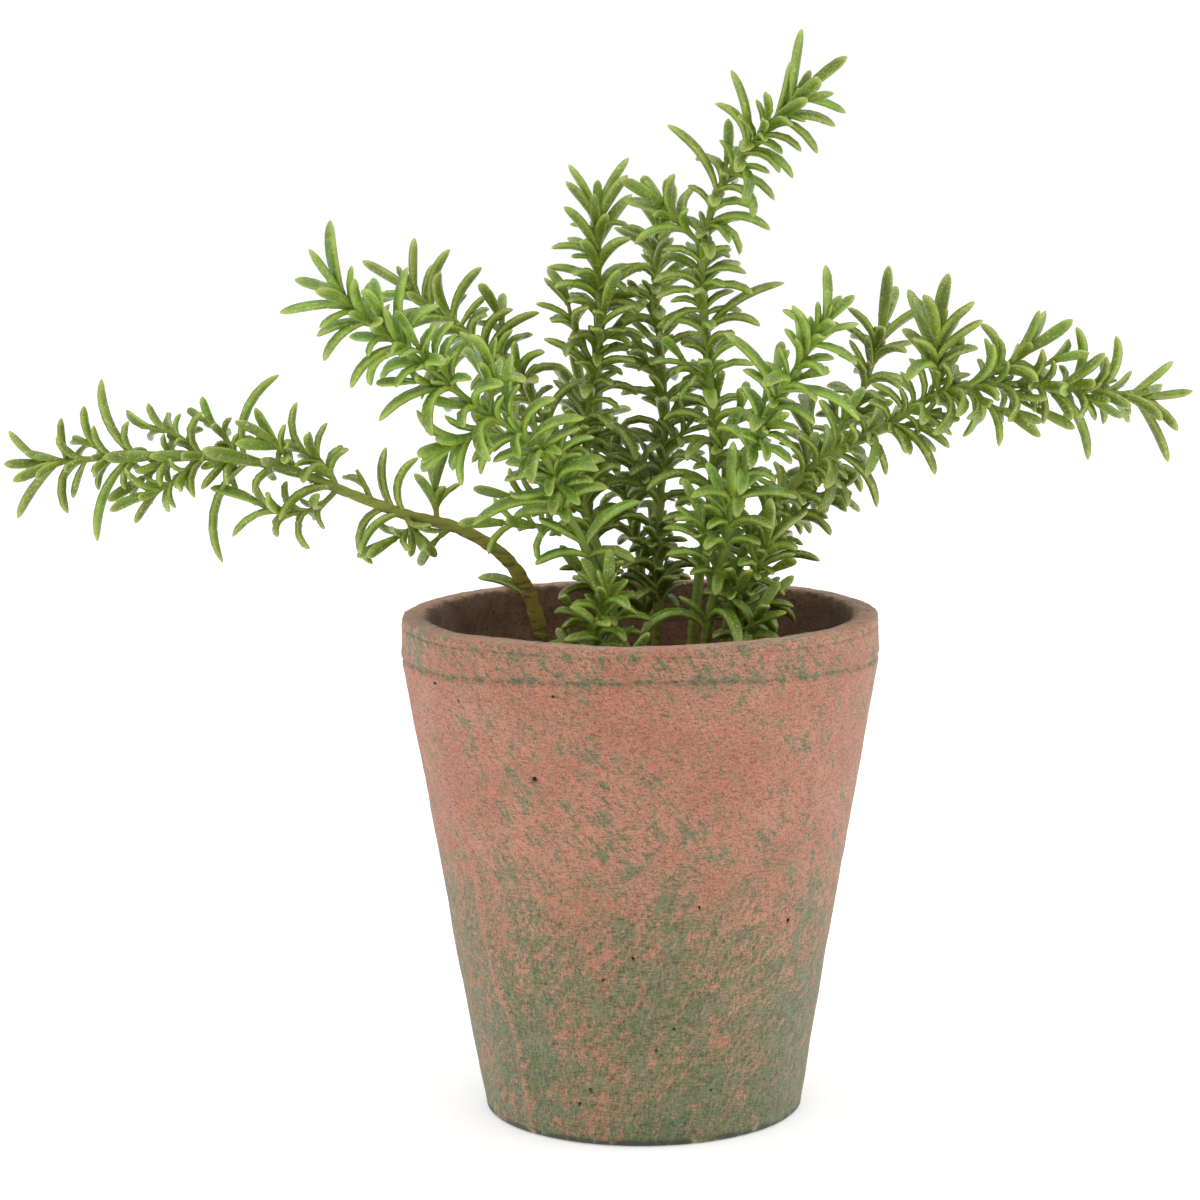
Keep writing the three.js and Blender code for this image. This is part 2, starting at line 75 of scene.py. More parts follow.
camera_data = bpy.data.cameras.new("photo_camera")
camera_data.lens = CAMERA_LENS
camera_data.sensor_width = SENSOR_WIDTH
camera_data.clip_start = NEAREST
camera_data.clip_end = FURTHEST
camera = put_in_scene("photo_camera", camera_data)
aim = Matrix.Rotation(math.pi / 2 + CAMERA_PITCH, 4, "X") @ Matrix.Rotation(CAMERA_ROLL, 4, "Z")
camera.matrix_world = Matrix.Translation(CAMERA_PLACE) @ aim
bpy.context.scene.camera = camera
print("camera", round((CAMERA_PLACE - PLANT_MIDDLE).length, 3), "m from the plant")

# %% [markdown]
# ## Helpers for modelling by hand
#
# An operator acts on all that is selected, so each step starts with nothing selected. In edit mode the parts
# of a mesh are picked by their place, as a hand would pick them with a box or a click.


# %% Selecting helpers
def deselect_all():
    bpy.ops.object.select_all(action="DESELECT")


def select_only(active, *others):
    """Selects these pieces and nothing else. The first of them is the one that an operator changes."""
    deselect_all()
    for piece in (active, *others):
        piece.select_set(True)
    bpy.context.view_layer.objects.active = active


def pick(piece, wanted, kind="VERT"):
    """Selects, in edit mode, the vertices or faces for which wanted(part) is true."""
    bpy.ops.mesh.select_mode(type=kind)
    bpy.ops.mesh.select_all(action="DESELECT")
    mesh = bmesh.from_edit_mesh(piece.data)
    for part in (mesh.faces if kind == "FACE" else mesh.verts):
        if wanted(part):
            part.select_set(True)
    mesh.select_flush_mode()
    bmesh.update_edit_mesh(piece.data)


def apply_modifier(piece, kind, **settings):
    """Adds a modifier with these settings and applies it at once."""
    bpy.context.view_layer.objects.active = piece
    modifier = piece.modifiers.new(kind.lower(), kind)
    for name, value in settings.items():
        setattr(modifier, name, value)
    bpy.ops.object.modifier_apply(modifier=modifier.name)


def vertex_places(piece):
    """The places of a mesh's vertices as rows of x, y and z."""
    places = np.empty(len(piece.data.vertices) * 3, np.float32)
    piece.data.vertices.foreach_get("co", places)
    return places.reshape(-1, 3).astype(float)


def move_vertices(piece, places):
    piece.data.vertices.foreach_set("co", places.astype(np.float32).ravel())
    piece.data.update()


def paint_vertices(piece, name, values):
    """Stores one number per vertex under a name that a material can read."""
    attribute = piece.data.attributes.get(name) or piece.data.attributes.new(name, "FLOAT", "POINT")
    attribute.data.foreach_set("value", np.asarray(values, np.float32))


print("helpers ready")

# %% [markdown]
# ## Helpers for materials
#
# A procedural material is a small graph: patterns made from the object's own coordinates are turned into
# masks by ramps, and the masks mix colours. Each helper adds one node and returns the socket that the next
# one reads.


# %% Node helpers
class Finish:
    """A material and short ways to add nodes to it."""

    def __init__(self, name):
        self.material = bpy.data.materials.new(name)
        self.material.use_nodes = True
        self.tree = self.material.node_tree
        self.tree.nodes.clear()

    def add(self, kind, inputs=None, **settings):
        node = self.tree.nodes.new("ShaderNode" + kind)
        for name, value in settings.items():
            setattr(node, name, value)
        for name, value in (inputs or {}).items():
            if isinstance(value, bpy.types.NodeSocket):
                self.tree.links.new(value, node.inputs[name])
            else:
                node.inputs[name].default_value = value
        return node

    def place(self, scale=(1, 1, 1)):
        """Object coordinates in millimetres. A pattern is stretched along an axis whose scale is under 1."""
        coordinates = self.add("TexCoord").outputs["Object"]
        stretch = {"Vector": coordinates, "Scale": [s / MM for s in scale]}
        return self.add("Mapping", stretch).outputs["Vector"]

    def noise(self, vector, size, detail=4.0, roughness=0.55, distortion=0.0):
        """Soft noise whose patches are about this many millimetres across."""
        inputs = {"Vector": vector, "Scale": 1 / size, "Detail": detail, "Roughness": roughness}
        return self.add("TexNoise", {**inputs, "Distortion": distortion}).outputs["Fac"]

    def maths(self, operation, *values):
        return self.add("Math", dict(enumerate(values)), operation=operation).outputs[0]

    def times(self, first, second):
        return self.maths("MULTIPLY", first, second)

    def plus(self, first, second):
        return self.maths("ADD", first, second)

    def less(self, first, second):
        return self.maths("SUBTRACT", first, second)

    def step(self, value, low, high):
        """0 below low, 1 above high, and smooth between. If low is the larger one, it falls instead."""
        inputs = {"Value": value, "From Min": low, "From Max": high}
        return self.add("MapRange", inputs, interpolation_type="SMOOTHSTEP").outputs["Result"]

    def ramp(self, value, stops):
        """Straight lines between (value, result) pairs."""
        node = self.add("ValToRGB", {"Fac": value})
        elements = node.color_ramp.elements
        while len(elements) < len(stops):
            elements.new(1)
        for element, (position, result) in zip(elements, stops):
            element.position = position
            element.color = (result, result, result, 1)
        return node.outputs["Color"]

    def mix(self, share, first, second, blend="MIX"):
        node = self.add("Mix", data_type="RGBA", blend_type=blend)
        for socket, value in ((0, share), (6, first), (7, second)):
            if isinstance(value, bpy.types.NodeSocket):
                self.tree.links.new(value, node.inputs[socket])
            elif socket:
                node.inputs[socket].default_value = (*value, 1)
            else:
                node.inputs[socket].default_value = value
        return node.outputs[2]

    def attribute(self, name):
        return self.add("Attribute", attribute_name=name).outputs["Fac"]

    def bump(self, height, strength, distance):
        """Makes the light fall as if the surface rose by this many millimetres."""
        inputs = {"Height": height, "Strength": strength, "Distance": distance * MM}
        return self.add("Bump", inputs).outputs["Normal"]

    def finish(self, inputs):
        shader = self.add("BsdfPrincipled", inputs)
        output = self.add("OutputMaterial")
        self.tree.links.new(shader.outputs["BSDF"], output.inputs["Surface"])
        return self.material


def dress(piece, name, material):
    """Names a finished piece, gives it its material and lets it ride on the object's one body."""
    piece.name = piece.data.name = name
    piece.data.materials.clear()
    piece.data.materials.append(material)
    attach(piece, "root")
    print(name, "has", len(piece.data.polygons), "faces")


print("node helpers ready")

# %% [markdown]
# ## The pot's shape
#
# The real pot is cast or thrown: a straight tapered wall, an upright band at the rim, and a flat foot. A
# potter builds it ring upon ring, and so does this cell. It starts from a filled circle, the foot, and
# extrudes and widens the rim of it upwards, over the lip and down the inside, in steps of a few millimetres
# so that the surface can be roughened later.

# %% Sizes of the pot
POT_HEIGHT = 127.5 * MM
RIM_RADIUS = 60 * MM
FOOT_RADIUS = 40.5 * MM
COLLAR_HEIGHT = 11 * MM
COLLAR_FOOT = POT_HEIGHT - COLLAR_HEIGHT
WALL = 6.6 * MM
FLOOR = 9 * MM
POT_SIDES = 256
WALL_RINGS = 82
SOIL_TOP = 104 * MM
SOIL_RADIUS = 51 * MM
TAPER = (RIM_RADIUS - FOOT_RADIUS) / COLLAR_FOOT
# Radius and height of the rounded edge of the foot, in millimetres.
FOOT_EDGE = [(39.5, 0), (40.1, 0.2), (40.5, 0.6), (40.7, 1.3)]
# Places on the lip, in millimetres outwards from the rim's radius and up from its top.
LIP = [(-0.05, -1.4), (-0.2, -0.7), (-0.55, -0.28), (-1.2, -0.06), (-2.6, 0), (-4.2, 0), (-5.5, -0.05),
       (-6.1, -0.3), (-6.4, -0.8), (-6.6, -1.8)]
# Rings stand closest together where the line below the lip will be. These are so far below the top.
CLOSE_RINGS = (4.5, 4.0, 3.5, 3.1, 2.8, 2.5, 2.2, 1.9, 1.65)
BAND_STEP = 0.5 * MM
INSIDE_STEP = 1.6 * MM


def wall_radius(height):
    """The pot's outer radius where the plain wall would be at this height."""
    return min(RIM_RADIUS, FOOT_RADIUS + TAPER * height)


def pot_profile():
    """Pairs of radius and height, from the foot's edge up the outside, over the lip and down the inside."""
    rings = [(radius * MM, height * MM) for radius, height in FOOT_EDGE]
    below_collar = COLLAR_FOOT - 2.5 * MM
    heights = [*np.linspace(rings[-1][1], below_collar, WALL_RINGS)[1:]]
    heights += [*np.arange(below_collar + BAND_STEP, POT_HEIGHT - 5 * MM, BAND_STEP)]
    heights += [POT_HEIGHT - down * MM for down in CLOSE_RINGS]
    rings += [(wall_radius(height), height) for height in heights]
    rings += [(RIM_RADIUS + out * MM, POT_HEIGHT + up * MM) for out, up in LIP]
    inside = [*np.arange(POT_HEIGHT - 4 * MM, SOIL_TOP - 6 * MM, -INSIDE_STEP), 70 * MM, 40 * MM, FLOOR]
    rings += [(wall_radius(height) - WALL, height) for height in inside]
    return rings


print("the pot's wall leans", round(math.degrees(math.atan(TAPER)), 1), "degrees")

# %% Raise the pot ring by ring
deselect_all()
rings = pot_profile()
bpy.ops.mesh.primitive_circle_add(vertices=POT_SIDES, radius=rings[0][0], fill_type="NGON")
pot = bpy.context.object
bpy.ops.object.mode_set(mode="EDIT")
bpy.ops.mesh.select_mode(type="EDGE")
bpy.ops.mesh.select_all(action="SELECT")
bpy.ops.mesh.region_to_loop()
for (radius, height), (wider, higher) in zip(rings, rings[1:]):
    bpy.ops.mesh.extrude_edges_move(TRANSFORM_OT_translate={"value": (0, 0, higher - height)})
    bpy.ops.transform.resize(value=(wider / radius, wider / radius, 1))
bpy.ops.mesh.edge_face_add()
bpy.ops.mesh.select_all(action="SELECT")
bpy.ops.mesh.normals_make_consistent(inside=False)
bpy.ops.object.mode_set(mode="OBJECT")
print("pot rings", len(rings), "top", round(max(v.co.z for v in pot.data.vertices), 4))

# %% [markdown]
# ## Small faults of the cast wall
#
# The wall isn't a perfect cone: it bulges a little, its surface is sandy, a groove that wavers marks the
# foot of the band, a fainter line runs round it just below the lip, and a raised seam from the mould runs
# down the left of the front. Moving the vertices along a few soft waves, furrows and ridges gives those forms
# to the real silhouette, which a bump in the material would not.

# %% Roughen the wall and raise the seam
# The seam's course: degrees round the pot from its left side towards the front, and height in millimetres.
SEAM = [(46.5, 0), (46.5, 7), (45.4, 25), (42.6, 32), (39.2, 38), (37.5, 52), (36.8, 70), (33.4, 76),
        (31.9, 84), (30.0, 89), (28.5, 100), (28.0, 114)]
SEAM_WIDTH = 0.9 * MM
SEAM_RISE = 0.42 * MM
GROOVE_WIDTH = 0.6 * MM
GROOVE_DEPTH = 0.5 * MM
GROOVE_CREST = 2.5 * MM
RIDGE_ABOVE_GROOVE = 1.4 * MM
RIDGE_WIDTH = 1.1 * MM
RIDGE_RISE = 0.18 * MM
RIM_LINE_WIDTH = 0.32 * MM
RIM_LINE_DEPTH = 0.26 * MM
# Several waves that cross each other seldom add up to more than the usual crest.
CROSSING_WAVES = 7
USUAL_CREST = 3.2
# Each wave is its height and its length in millimetres, and a seed.
WALL_WAVES = [(0.32, 70, 3), (0.13, 16, 5), (0.06, 6, 7)]
LIP_TOP_WAVES = [(0.18, 30, 9), (0.10, 7, 11)]
LIP_SIDE_WAVES = [(0.13, 4.5, 13)]


def soft_waves(places, size, seed):
    """Sums of crossing sine waves between -1 and 1, of about this wavelength in metres."""
    draws = np.random.default_rng(seed)
    total = np.zeros(len(places))
    for _ in range(CROSSING_WAVES):
        direction = draws.normal(size=3)
        direction *= 2 * math.pi / size * draws.uniform(0.7, 1.4) / np.linalg.norm(direction)
        total += np.sin(places @ direction + draws.uniform(0, 2 * math.pi))
    return total / USUAL_CREST


def all_waves(places, waves):
    """These waves at each place, one on top of the other, in millimetres."""
    return sum(height * soft_waves(places, length * MM, seed) for height, length, seed in waves)


def beside_seam(places):
    """How far each place lies from the seam, measured round the wall."""
    degrees, heights = np.array(SEAM, float).T
    course = np.radians(np.interp(places[:, 2] / MM, heights, degrees))
    angle = np.arctan2(-places[:, 1], -places[:, 0]) - course
    return np.abs(angle) * np.hypot(places[:, 0], places[:, 1])


def above_groove(places):
    """How far each place lies above the groove, which stands highest in the middle of the front."""
    from_front = np.arctan2(places[:, 0], -places[:, 1])
    line = COLLAR_FOOT + 0.3 * MM + GROOVE_CREST * np.exp(-((from_front / 0.85) ** 2))
    return places[:, 2] - line - 0.15 * MM * np.sin(9 * from_front) - 0.1 * MM * np.sin(23 * from_front)


def near_rim_line(places):
    """1 in the faint line that runs round the band just below the lip, and 0 away from it."""
    round_the_pot = np.arctan2(places[:, 1], places[:, 0])
    line = POT_HEIGHT - 2.4 * MM
    line += 0.2 * MM * np.sin(3 * round_the_pot) + 0.1 * MM * np.sin(11 * round_the_pot)
    return np.exp(-(((places[:, 2] - line) / RIM_LINE_WIDTH) ** 2))


places = vertex_places(pot)
radius = np.hypot(places[:, 0], places[:, 1])
outward = places[:, :2] / np.maximum(radius, 1e-6)[:, None]
outside = radius > np.array([wall_radius(z) for z in places[:, 2]]) - WALL / 2
off_the_floor = np.clip(places[:, 2] / (2 * MM), 0, 1)
swell = all_waves(places, WALL_WAVES) * (MM * off_the_floor)
seam_fades = np.interp(places[:, 2] / MM, (1, 6, 88, 112), (0, 1, 1, 0.15))
swell += SEAM_RISE * np.exp(-((beside_seam(places) / SEAM_WIDTH) ** 2)) * seam_fades * outside
above = above_groove(places)
swell -= GROOVE_DEPTH * np.exp(-((above / GROOVE_WIDTH) ** 2)) * outside
swell += RIDGE_RISE * np.exp(-(((above - RIDGE_ABOVE_GROOVE) / RIDGE_WIDTH) ** 2)) * outside
swell -= RIM_LINE_DEPTH * near_rim_line(places) * outside
places[:, :2] += outward * swell[:, None] * (radius > FOOT_RADIUS * 0.96)[:, None]
lip = places[:, 2] > POT_HEIGHT - 3 * MM
places[:, 2] += lip * MM * all_waves(places, LIP_TOP_WAVES)
places[:, :2] += outward * (lip * MM * all_waves(places, LIP_SIDE_WAVES))[:, None]
move_vertices(pot, places)
print("wall moved by up to", round(np.abs(swell).max() / MM, 2), "mm")

# %% [markdown]
# ## Air holes in the clay
#
# Cast clay traps air, and the bubbles at its face open into small round pits. Here each pit is a small ball,
# and one Boolean modifier cuts all of them out of the wall.

# %% Cut the air holes
# Each is a place on the front of the wall, x and height in millimetres, and the ball's radius.
PITS = [(-26.3, 94.5, 0.7), (-50.5, 115.0, 0.4), (-21.5, 115.6, 0.36), (-44.7, 111.7, 0.36),
        (13.1, 62.6, 0.36), (-2.9, 50, 0.36), (-10.2, 44.1, 0.38), (7, 31.3, 0.34), (2.6, 25.9, 0.32),
        (16.1, 14.2, 0.36), (-13.6, 15, 0.34), (-16.2, 11, 0.32), (35.3, 55.8, 0.5)]


def front_of_wall(x, height):
    return -math.sqrt(max(0, wall_radius(height) ** 2 - x ** 2))


def pit_place(x, height):
    """Where a pit's ball stands on the wall, in metres."""
    return x * MM, front_of_wall(x * MM, height * MM), height * MM


cutters = []
deselect_all()
for x, height, size in PITS:
    bpy.ops.mesh.primitive_ico_sphere_add(subdivisions=2, radius=size * MM, location=pit_place(x, height))
    cutters.append(bpy.context.object)
select_only(*cutters)
bpy.ops.object.join()
bpy.ops.object.transform_apply(location=True, rotation=True, scale=True)
cutter = bpy.context.object
select_only(pot)
apply_modifier(pot, "BOOLEAN", object=cutter, operation="DIFFERENCE", solver="EXACT")
bpy.data.objects.remove(cutter)
print("pot after the pits:", len(pot.data.vertices), "vertices")

# %% [markdown]
# ## Marks for the brush
#
# A material can't know by itself where the lip, the seam or a pit is. A mask could be painted by hand, but
# numbers stored on the vertices follow the shape exactly and need no image. The broad strokes of the brush
# that can be told apart in the photograph are stored in the same way.

# %% Note what each part of the pot is, for its material
# Broad strokes of the brush: degrees from the front's middle, height, half width in degrees, half height and
# strength. Where the strength is negative, the wash was rubbed off again.
BROAD_STROKES = [(-5, 48, 19, 20, 1.1), (25, 46, 14, 16, -0.9), (-36, 66, 14, 14, -0.6), (3, 22, 9, 9, -0.7),
                 (-8, 79, 15, 11, -0.7)]
# The wash's flecks follow lines that turn round the pot by one radian over these heights: one way for the
# lower half, and the other way for the upper half.
FLECK_TURNS = {"lower": -80 * MM, "upper": 85 * MM}

places = vertex_places(pot)
radius = np.hypot(places[:, 0], places[:, 1])
wall = np.array([wall_radius(z) for z in places[:, 2]])
inside = np.clip((wall - 5.4 * MM - radius) / (1.2 * MM), 0, 1) * (places[:, 2] > FLOOR / 2)
paint_vertices(pot, "inside", inside)
# How deep each vertex lies in a pit, where the material paints shade.
pit_shade = np.zeros(len(places))
for x, height, size in PITS:
    near = np.linalg.norm(places - np.array(pit_place(x, height)), axis=1) < size * MM * 1.03
    pit_shade[near] = np.clip((radius[near].max() - radius[near]) / (0.3 * size * MM), 0, 1)
paint_vertices(pot, "pit", pit_shade)
seam_fades = np.interp(places[:, 2] / MM, (60, 95), (1, 0.3))
paint_vertices(pot, "seam", np.exp(-((beside_seam(places) / (1.0 * MM)) ** 2)) * seam_fades)
for half, one_radian in FLECK_TURNS.items():
    turn = places[:, 2] / one_radian
    paint_vertices(pot, half + "_x", (places[:, 0] * np.cos(turn) - places[:, 1] * np.sin(turn)) / MM)
    paint_vertices(pot, half + "_y", (places[:, 0] * np.sin(turn) + places[:, 1] * np.cos(turn)) / MM)
groove = np.exp(-((above_groove(places) / (0.9 * MM)) ** 2))
paint_vertices(pot, "groove", np.maximum(groove, 0.5 * near_rim_line(places)))
paint_vertices(pot, "collar", np.clip(above_groove(places) / (0.8 * MM), 0, 1))
from_front = np.degrees(np.arctan2(places[:, 0], -places[:, 1]))
broad_stroke = np.zeros(len(places))
for middle, height, breadth, rise, strength in BROAD_STROKES:
    beside = (from_front - middle) / breadth
    over = (places[:, 2] / MM - height) / rise
    broad_stroke += strength * np.exp(-(beside ** 2) - over ** 2)
paint_vertices(pot, "broad_stroke", broad_stroke)
on_lip = np.clip((places[:, 2] - POT_HEIGHT + 0.9 * MM) / (0.6 * MM), 0, 1)
paint_vertices(pot, "lip", on_lip)
on_edge = np.exp(-(((wall - 5.7 * MM - radius) / (1.1 * MM)) ** 2)) * (places[:, 2] > POT_HEIGHT - 1.5 * MM)
paint_vertices(pot, "inner_edge", on_edge)
print("marked the inside, pits, seam, groove, lip and", len(BROAD_STROKES), "broad strokes of the brush")

# %% [markdown]
# ## The clay's finish
#
# The pot is salmon clay with a grey-green wash brushed over it. The brush left little of it near the rim, a
# line where the band meets the wall, and most near the foot, and all of it is broken into fine flecks. One
# ramp over the height says how hard it is for the wash to show, and stretched noise, compared with that
# ramp, draws the flecks. The noise is stretched along lines that climb round the wall, so the flecks lean
# the same way all round: one way on the lower half, and the other way on the upper half.

# %% Draw the patterns of the clay
LOWER_SQUASH = 0.42
UPPER_SQUASH = 0.50

clay = Finish("brushed_clay")
grid = clay.place()
height_share = clay.maths("DIVIDE", clay.add("SeparateXYZ", {"Vector": grid}).outputs["Z"], POT_HEIGHT / MM)
upper_half = clay.step(height_share, 0.40, 0.62)


def climbing(half, squash):
    """Coordinates that turn about the pot as they climb, with the height squashed to make long flecks."""
    return clay.add("CombineXYZ", {
        "X": clay.attribute(half + "_x"),
        "Y": clay.attribute(half + "_y"),
        "Z": clay.times(height_share, squash * POT_HEIGHT / MM),
    }).outputs["Vector"]


lower_lines = climbing("lower", LOWER_SQUASH)
upper_lines = climbing("upper", UPPER_SQUASH)
lower_flecks = clay.noise(lower_lines, 1.5, detail=5, roughness=0.66)
upper_flecks = clay.noise(upper_lines, 1.8, detail=5, roughness=0.60, distortion=0.3)
flecks = clay.mix(upper_half, lower_flecks, upper_flecks)
hatch = clay.noise(upper_lines, 0.55, detail=2, roughness=0.6)
weave = clay.noise(clay.place(scale=(0.35, 0.35, 1.6)), 0.9, detail=3, roughness=0.6)
speckle = clay.noise(grid, 0.8, detail=3, roughness=0.7)
mottle = clay.noise(grid, 5.5, detail=4, roughness=0.6)
blotches = clay.noise(grid, 20, detail=3, roughness=0.55)
broad = clay.noise(grid, 48, detail=2)
print("clay patterns from 0.55 to 48 mm drawn")

# %% [markdown]
# ## The wash
#
# The real wash is thin paint that caught on the rough clay: flecks, clusters of flecks and bare patches. No
# single noise looks like that, so several are added up, from fine specks to broad patches. Where their sum
# is above the wash's resistance, the paint shows. Its edges are softer on the lower half.

# %% Brush the green wash over it
# How hard it is for the wash to show, from the foot (0) to the rim (1). Some parts of the pot take it more
# easily, and the lip, which is rubbed bare, less.
resistance = clay.ramp(height_share, [
    (0.0, 0.34), (0.03, 0.385), (0.08, 0.420), (0.18, 0.428), (0.28, 0.445), (0.40, 0.482), (0.50, 0.530),
    (0.60, 0.606), (0.72, 0.650), (0.90, 0.642), (1.0, 0.586),
])
for part, less in (("groove", 0.14), ("collar", 0.03), ("broad_stroke", 0.05), ("lip", -0.08)):
    resistance = clay.less(resistance, clay.times(clay.attribute(part), less))

# How much each pattern adds to the flecks. Some have more to say on one half of the pot than on the other.
speckled = clay.ramp(height_share, [(0.0, 0.40), (0.42, 0.40), (0.60, 0.28), (1.0, 0.26)])
woven = clay.ramp(height_share, [(0.0, 0.50), (0.42, 0.52), (0.60, 0.20), (1.0, 0.20)])
clusters = clay.ramp(height_share, [(0.0, 0.64), (0.42, 0.62), (0.60, 0.84), (1.0, 0.74)])
weights = [(speckle, speckled), (weave, woven), (mottle, clusters), (blotches, 0.36), (broad, 0.20)]
wash_value = flecks
for pattern, weight in weights:
    wash_value = clay.plus(wash_value, clay.times(clay.less(pattern, 0.5), weight))
wash_value = clay.less(wash_value, clay.times(clay.attribute("seam"), 0.22))

above_resistance = clay.less(wash_value, resistance)
softness = clay.ramp(height_share, [(0.0, 0.18), (0.40, 0.18), (0.58, 0.08), (1.0, 0.05)])
wash = clay.step(above_resistance, clay.times(softness, -0.8), clay.times(softness, 1.1))
wash = clay.times(wash, clay.less(1.0, clay.attribute("inside")))
thin_wash = clay.step(above_resistance, -0.24, 0.06)
print("wash mask ready")

# %% [markdown]
# ## The colours of the clay
#
# Fired clay isn't one colour: paler clouds and rusty specks lie in the salmon, and a thin haze of the wash
# tints it even where no fleck is. Each colour is a named value, and a mask mixes it into what is there.

# %% Colour the clay and its wash
SALMON = (0.488, 0.205, 0.132)
PALE_SALMON = (0.528, 0.248, 0.166)
RUST = (0.340, 0.155, 0.105)
HAZE = (0.320, 0.235, 0.135)
WASH_GREEN = (0.108, 0.168, 0.072)
WASH_GREY = (0.172, 0.207, 0.112)

body = clay.mix(clay.step(blotches, 0.38, 0.62), SALMON, PALE_SALMON)
body = clay.mix(clay.times(clay.step(speckle, 0.56, 0.70), 0.55), body, RUST)
film = clay.ramp(height_share, [(0.0, 0.30), (0.42, 0.24), (0.62, 0.06), (1.0, 0.0)])
body = clay.mix(clay.maths("MAXIMUM", clay.times(thin_wash, 0.62), film), body, HAZE)
green = clay.mix(clay.step(mottle, 0.4, 0.65), WASH_GREEN, WASH_GREY)
opacity = clay.ramp(height_share, [(0.0, 0.93), (0.45, 0.88), (0.62, 0.74), (1.0, 0.76)])
colour = clay.mix(clay.times(wash, opacity), body, green)
print("clay and wash coloured")

# %% [markdown]
# ## Wear, stains and painted shade
#
# A used pot is scratched, its groove holds dirt, its lip is dusty and the inner edge of its lip is darker.
# Each of these is one colour, laid on where a mask says so, and broken up by patches of noise. The grain,
# finer than all of them, is multiplied in. The pale scuffs of the foot come last, with painted shade: a dark
# line along the foot's bottom edge and black in the holes.

# %% Stain the clay, and paint shade at its foot and in its holes
SCRATCH = (0.150, 0.105, 0.060)
GROOVE_GREEN = (0.085, 0.105, 0.055)
LIP_DUST = (0.360, 0.290, 0.190)
INSIDE_BROWN = (0.225, 0.112, 0.064)
INSIDE_PALE = (0.310, 0.165, 0.112)
# Dark brown for the inner edge of the lip.
INNER_EDGE_DARK = (0.075, 0.048, 0.030)
BUFF = (0.50, 0.42, 0.30)
# Dark grey for the foot's bottom edge: painted shade where the pot meets the floor.
FOOT_SHADE = (0.050, 0.052, 0.036)
# Black laid into the holes is painted shade.
HOLE_SHADE_BLACK = (0.020, 0.014, 0.010)


def patches(size, low, high, detail=4.0):
    """A mask of patches of about this many millimetres."""
    return clay.step(clay.noise(grid, size, detail=detail), low, high)


def lay_colour(colour, paint, strength, where, broken_up):
    """The colour with this paint laid on it, as strong as this, where both masks say so."""
    return clay.mix(clay.times(clay.times(where, broken_up), strength), colour, paint)


colour = lay_colour(colour, SCRATCH, 0.70, clay.step(hatch, 0.56, 0.64), patches(7, 0.46, 0.60, detail=3))
colour = lay_colour(colour, GROOVE_GREEN, 0.50, clay.attribute("groove"), patches(6, 0.48, 0.60))
colour = lay_colour(colour, LIP_DUST, 0.45, clay.attribute("lip"), patches(5, 0.40, 0.60))
inside = clay.mix(patches(7, 0.35, 0.65), INSIDE_BROWN, INSIDE_PALE)
colour = clay.mix(clay.attribute("inside"), colour, inside)
# The inner edge of the lip is made darker.
colour = lay_colour(colour, INNER_EDGE_DARK, 0.75, clay.attribute("inner_edge"), patches(2.2, 0.45, 0.55))
weft = clay.noise(clay.place(scale=(0.5, 0.5, 2.2)), 0.9, detail=1)
warp = clay.mix(upper_half, clay.noise(clay.place(scale=(1.6, 1.6, 0.4)), 0.9, detail=1), hatch)
fine = clay.times(clay.plus(weft, warp), 0.3)
fine = clay.plus(fine, clay.times(clay.noise(grid, 0.45, detail=2), 0.4))
colour = clay.mix(1.0, colour, clay.ramp(fine, [(0.38, 0.46), (0.50, 0.95), (0.62, 1.20)]), blend="MULTIPLY")
colour = lay_colour(colour, BUFF, 0.5, clay.step(height_share, 0.022, 0.006), patches(3.2, 0.5, 0.6))
# A dark line along the bottom edge of the foot is painted shade.
colour = lay_colour(colour, FOOT_SHADE, 0.9, clay.step(height_share, 0.020, 0.008), patches(4, 0.36, 0.5))
# The inside of each pit is painted black: painted shade.
colour = clay.mix(clay.attribute("pit"), colour, HOLE_SHADE_BLACK)
print("clay stained")

# %% [markdown]
# ## Pinholes and sand
#
# Besides the larger air holes, which are cut into the wall, the clay has pinholes all round. They are too
# small to model, so dark points stand for them, painted shade where a hole would be: a pattern of cells has a
# point in the middle of each cell, and some of the cells are chosen. A fine bump makes the rest of the
# surface sandy.

# %% Add pinholes and a sandy bump
PINHOLE_SPACING = 9
pinhole_cells = clay.add("TexVoronoi", {"Vector": grid, "Scale": 1 / PINHOLE_SPACING, "Randomness": 1.0})
pinhole = clay.step(pinhole_cells.outputs["Distance"], 0.034, 0.020)
cell_number = clay.add("SeparateXYZ", {"Vector": pinhole_cells.outputs["Color"]}).outputs["X"]
pinhole = clay.times(pinhole, clay.step(cell_number, 0.62, 0.63))
# The chosen pinholes are painted black: painted shade where a hole would be.
colour = clay.mix(pinhole, colour, HOLE_SHADE_BLACK)
sand = clay.plus(clay.times(speckle, 0.6), clay.noise(grid, 0.35, detail=2))
sand = clay.plus(sand, clay.times(flecks, 0.8))
sand = clay.less(sand, clay.times(pinhole, 2.0))
clay_material = clay.finish({
    "Base Color": colour,
    "Roughness": clay.ramp(wash, [(0, 0.94), (1, 0.86)]),
    "Specular IOR Level": 0.25,
    "Sheen Weight": 0.18,
    "Sheen Roughness": 0.55,
    "Normal": clay.bump(sand, 0.60, 0.35),
})
select_only(pot)
bpy.ops.object.shade_smooth_by_angle(angle=math.radians(50))
dress(pot, "clay_pot", clay_material)
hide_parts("pot")

# %% [markdown]
# ## The soil
#
# Behind the rim the pot is filled with dark, crumbly potting soil, which shows from above. A flat disc is
# inset again and again to get rings of faces. Then its top is pushed up and down in soft lumps.

# %% Shape the soil's surface
SOIL_DEPTH = 12 * MM
SOIL_SIDES = 96
SOIL_RINGS = 22
# Each wave is its height and its length in millimetres, and a seed.
SOIL_WAVES = [(0.85, 17, 21), (0.4, 6, 22)]

